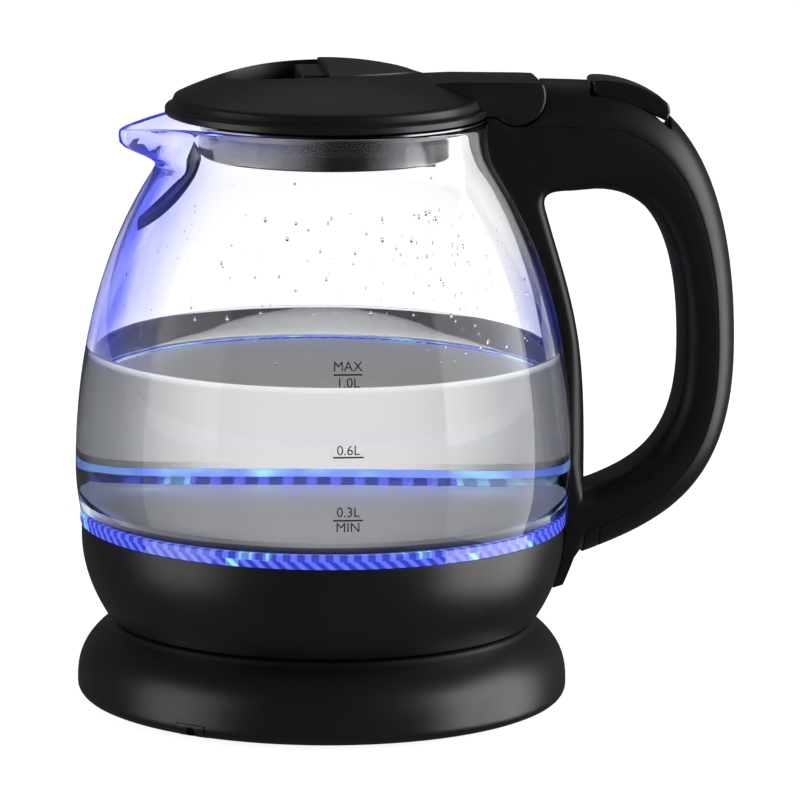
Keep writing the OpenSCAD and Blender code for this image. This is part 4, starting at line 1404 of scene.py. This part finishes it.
class KETTLE_OT_lid(bpy.types.Operator):
    """Makes the domed lid with its arm and finger well, and the grip in the well"""

    bl_idname = "kettle.lid"
    bl_label = "Lid"

    def execute(self, context):
        ledge = LID_Z + 2.6
        dome = [(DOME_R * (1 - i / 40), dome_z(DOME_R * (1 - i / 40))) for i in range(41)]
        under = [(r, z - SKIN) for r, z in dome if 0 < r < DOME_R - 3][::-1]
        outline = (
            [(LID_R - 2.2, LID_Z), (LID_R - 0.4, LID_Z), (LID_R, LID_Z + 0.4), (LID_R, ledge - 0.5)]
            + [(LID_R - 0.4, ledge), (LID_R - 1.7, ledge + 0.35), (LID_R - 2.1, ledge + 0.9)]
            + [(LID_R - 2.5, ledge + 2.3)]
            + dome
            + [(0, DOME_TOP - SKIN)]
            + under
            + [(LID_R - 3.4, ledge), (LID_R - 2.2, ledge - 1)]
        )
        lid = turned("lid_dome", outline, 192)
        cup = lens_prism("cup", SKIN, WELL_FLOOR - SKIN, DOME_TOP + 2)
        solid = turned("solid", [(0, LID_Z), (DOME_R, LID_Z)] + [(r, z - 0.02) for r, z in dome], 192)
        carve(cup, solid, way="INTERSECT")
        arm = [(LID_R - 24, LID_Z), (PIN.x - 8.2, LID_Z)]
        low_turn = -math.pi + math.asin((PIN.z - LID_Z) / ARM_ROUND)
        high_turn = math.asin((ARM_TOP - PIN.z) / ARM_ROUND)
        for i in range(25):
            a = low_turn + (high_turn - low_turn) * i / 24
            arm.append((PIN.x + ARM_ROUND * math.cos(a), PIN.z + ARM_ROUND * math.sin(a)))
        arm += [(PIN.x + 3, ARM_TOP + 0.2), (LID_R - 10, ARM_TOP + 0.5), (LID_R - 24, ARM_TOP)]
        arm_piece = cut_out("arm", arm, ARM_HALF)
        round_edges(arm_piece, 1.9, 4, 50)
        carve(lid, cup, arm_piece, way="UNION")
        room = turned(
            "room", [(0, LID_Z - 2), (44.2, LID_Z - 2), (44.2, LID_Z + 2.8), (0, LID_Z + 2.8)], 96
        )
        well = lens_prism("well", 0, WELL_FLOOR, DOME_TOP + 6)
        hollow = block("hollow", (LID_R - 20, PIN.x - 9), (-10.5, 10.5), (LID_Z - 1, ARM_TOP - 2.2))
        knuckle = block("knuckle", (PIN.x - 5, PIN.x + 20), (-4.3, 4.3), (LID_Z - 6, ARM_TOP - 1.6))
        carve(lid, room, well, hollow, knuckle)
        round_edges(lid, 0.3, 2, 50)
        finished(lid, "lid", "black_plastic", "body", "lid_cover")

        grip = lens_prism("lid_grip_insert", -0.25, WELL_FLOOR + 0.05, DOME_TOP + 6, x_low=-0.8)
        clear_picks()
        bpy.ops.mesh.primitive_uv_sphere_add(
            segments=256, ring_count=256, radius=(DOME_BALL + 0.35) * MM,
            location=(0, 0, (DOME_TOP - DOME_BALL) * MM),
        )
        ball = named("ball")
        bpy.ops.object.transform_apply(location=True, rotation=False, scale=False)
        edit_all()
        bpy.ops.mesh.bisect(
            plane_co=(0, 0, (WELL_FLOOR - 3) * MM), plane_no=(0, 0, 1), use_fill=True, clear_inner=True
        )
        tidy()
        carve(grip, ball, way="INTERSECT")
        tongue = block("tongue", (-8.6, -0.4), (-13, 13), (WELL_FLOOR + 0.05, DOME_TOP - 2.6))
        round_edges(tongue, 0.8, 3, 50)
        carve(grip, tongue, way="UNION")
        round_edges(grip, 0.5, 3, 45)
        finished(grip, "lid", "dark_plastic", "insert", "lid_grip")
        return {"FINISHED"}


class KETTLE_OT_stage(bpy.types.Operator):
    """Sets out the floor, the lights and the camera"""

    bl_idname = "kettle.stage"
    bl_label = "Stage"

    def soft_box(self, name, turn, distance, height, wide, tall, power):
        """An area light that stands round the kettle at a turn from the camera's side."""
        a = math.radians(turn)
        at = Vector((math.sin(a) * distance, -math.cos(a) * distance, height))
        data = bpy.data.lights.new(name, "AREA")
        data.shape = "RECTANGLE"
        data.size, data.size_y, data.energy = wide, tall, power
        lamp = bpy.data.objects.new(name, data)
        lamp.location = at
        lamp.rotation_euler = (Vector((0, 0, 0.08)) - at).to_track_quat("-Z", "Y").to_euler()
        bpy.context.scene.collection.objects.link(lamp)

    def execute(self, context):
        scene = context.scene
        clear_picks()
        bpy.ops.mesh.primitive_circle_add(vertices=96, radius=6, fill_type="NGON")
        floor = named("pale_floor")
        r = Recipe("pale_floor_paint")
        speck = r.grain(400, 2)
        tone = tuple(colours().floor)
        r.set(
            Base_Color=r.blend(speck * 0.2, tone, tuple(c * 0.97 for c in tone)),
            Roughness=0.8,
            Emission_Color=(1.0, 1.0, 1.0),
            Emission_Strength=0.9,
        )
        floor.data.materials.append(r.material)
        floor.visible_glossy = False

        self.soft_box("right_soft_box", 80, 1.5, 0.15, 1.55, 1.7, 33.0)
        self.soft_box("left_soft_box", -75, 1.5, 0.15, 1.1, 1.5, 10.0)
        self.soft_box("overhead_soft_box", 180, 0.7, 1.6, 1.6, 1.4, 1.9)

        world = bpy.data.worlds.new("studio_air")
        world.use_nodes = True
        air = world.node_tree.nodes["Background"]
        air.inputs["Color"].default_value = (1.0, 1.0, 1.0, 1.0)
        air.inputs["Strength"].default_value = 0.07
        scene.world = world
        scene.view_settings.view_transform = "Standard"

        data = bpy.data.cameras.new("kettle_camera")
        camera = bpy.data.objects.new("kettle_camera", data)
        turn, away, up = math.radians(-5.6), 1.769, 0.4264
        camera.location = (math.sin(turn) * away, -math.cos(turn) * away, up)
        right = Vector((math.cos(turn), math.sin(turn), 0))
        aim_right, aim_up, roll = 0.0237, 0.0947, math.radians(0.56)
        aim = right * aim_right + Vector((0, 0, aim_up))
        look = (aim - camera.location).to_track_quat("-Z", "Y")
        camera.rotation_mode = "QUATERNION"
        camera.rotation_quaternion = look @ Matrix.Rotation(roll, 3, "Z").to_quaternion()
        data.lens = 260.2
        data.sensor_width = 36.0
        data.clip_start, data.clip_end = 0.05, 50
        data.dof.use_dof = False
        scene.collection.objects.link(camera)
        scene.camera = camera
        return {"FINISHED"}


STEPS = (
    KETTLE_OT_finishes,
    KETTLE_OT_power_base,
    KETTLE_OT_lower_shell,
    KETTLE_OT_light_ring,
    KETTLE_OT_glass,
    KETTLE_OT_water,
    KETTLE_OT_level_marks,
    KETTLE_OT_collar,
    KETTLE_OT_handle,
    KETTLE_OT_rocker,
    KETTLE_OT_lid,
    KETTLE_OT_stage,
)


class KETTLE_PT_panel(bpy.types.Panel):
    """Lists the kettle's settings and its pieces"""

    bl_idname = "KETTLE_PT_panel"
    bl_label = "Glass Electric Kettle"
    bl_space_type = "VIEW_3D"
    bl_region_type = "UI"
    bl_category = "Kettle"

    def draw(self, context):
        for group in (context.scene.kettle_sizes, context.scene.kettle_colours):
            for name in group.__annotations__:
                self.layout.prop(group, name)
        for step in STEPS:
            self.layout.operator(step.bl_idname)


CLASSES = (KettleSizes, KettleColours, *STEPS, KETTLE_PT_panel)


def register():
    for made in CLASSES:
        bpy.utils.register_class(made)
    bpy.types.Scene.kettle_sizes = PointerProperty(type=KettleSizes)
    bpy.types.Scene.kettle_colours = PointerProperty(type=KettleColours)


def unregister():
    del bpy.types.Scene.kettle_colours
    del bpy.types.Scene.kettle_sizes
    for made in reversed(CLASSES):
        bpy.utils.unregister_class(made)


def main():
    register()
    bpy.ops.kettle.finishes()
    bpy.ops.kettle.power_base()
    bpy.ops.kettle.lower_shell()
    bpy.ops.kettle.light_ring()
    bpy.ops.kettle.glass()
    bpy.ops.kettle.water()
    bpy.ops.kettle.level_marks()
    bpy.ops.kettle.collar()
    bpy.ops.kettle.handle()
    bpy.ops.kettle.rocker()
    bpy.ops.kettle.lid()
    bpy.ops.kettle.stage()


if __name__ == "__main__":
    main()
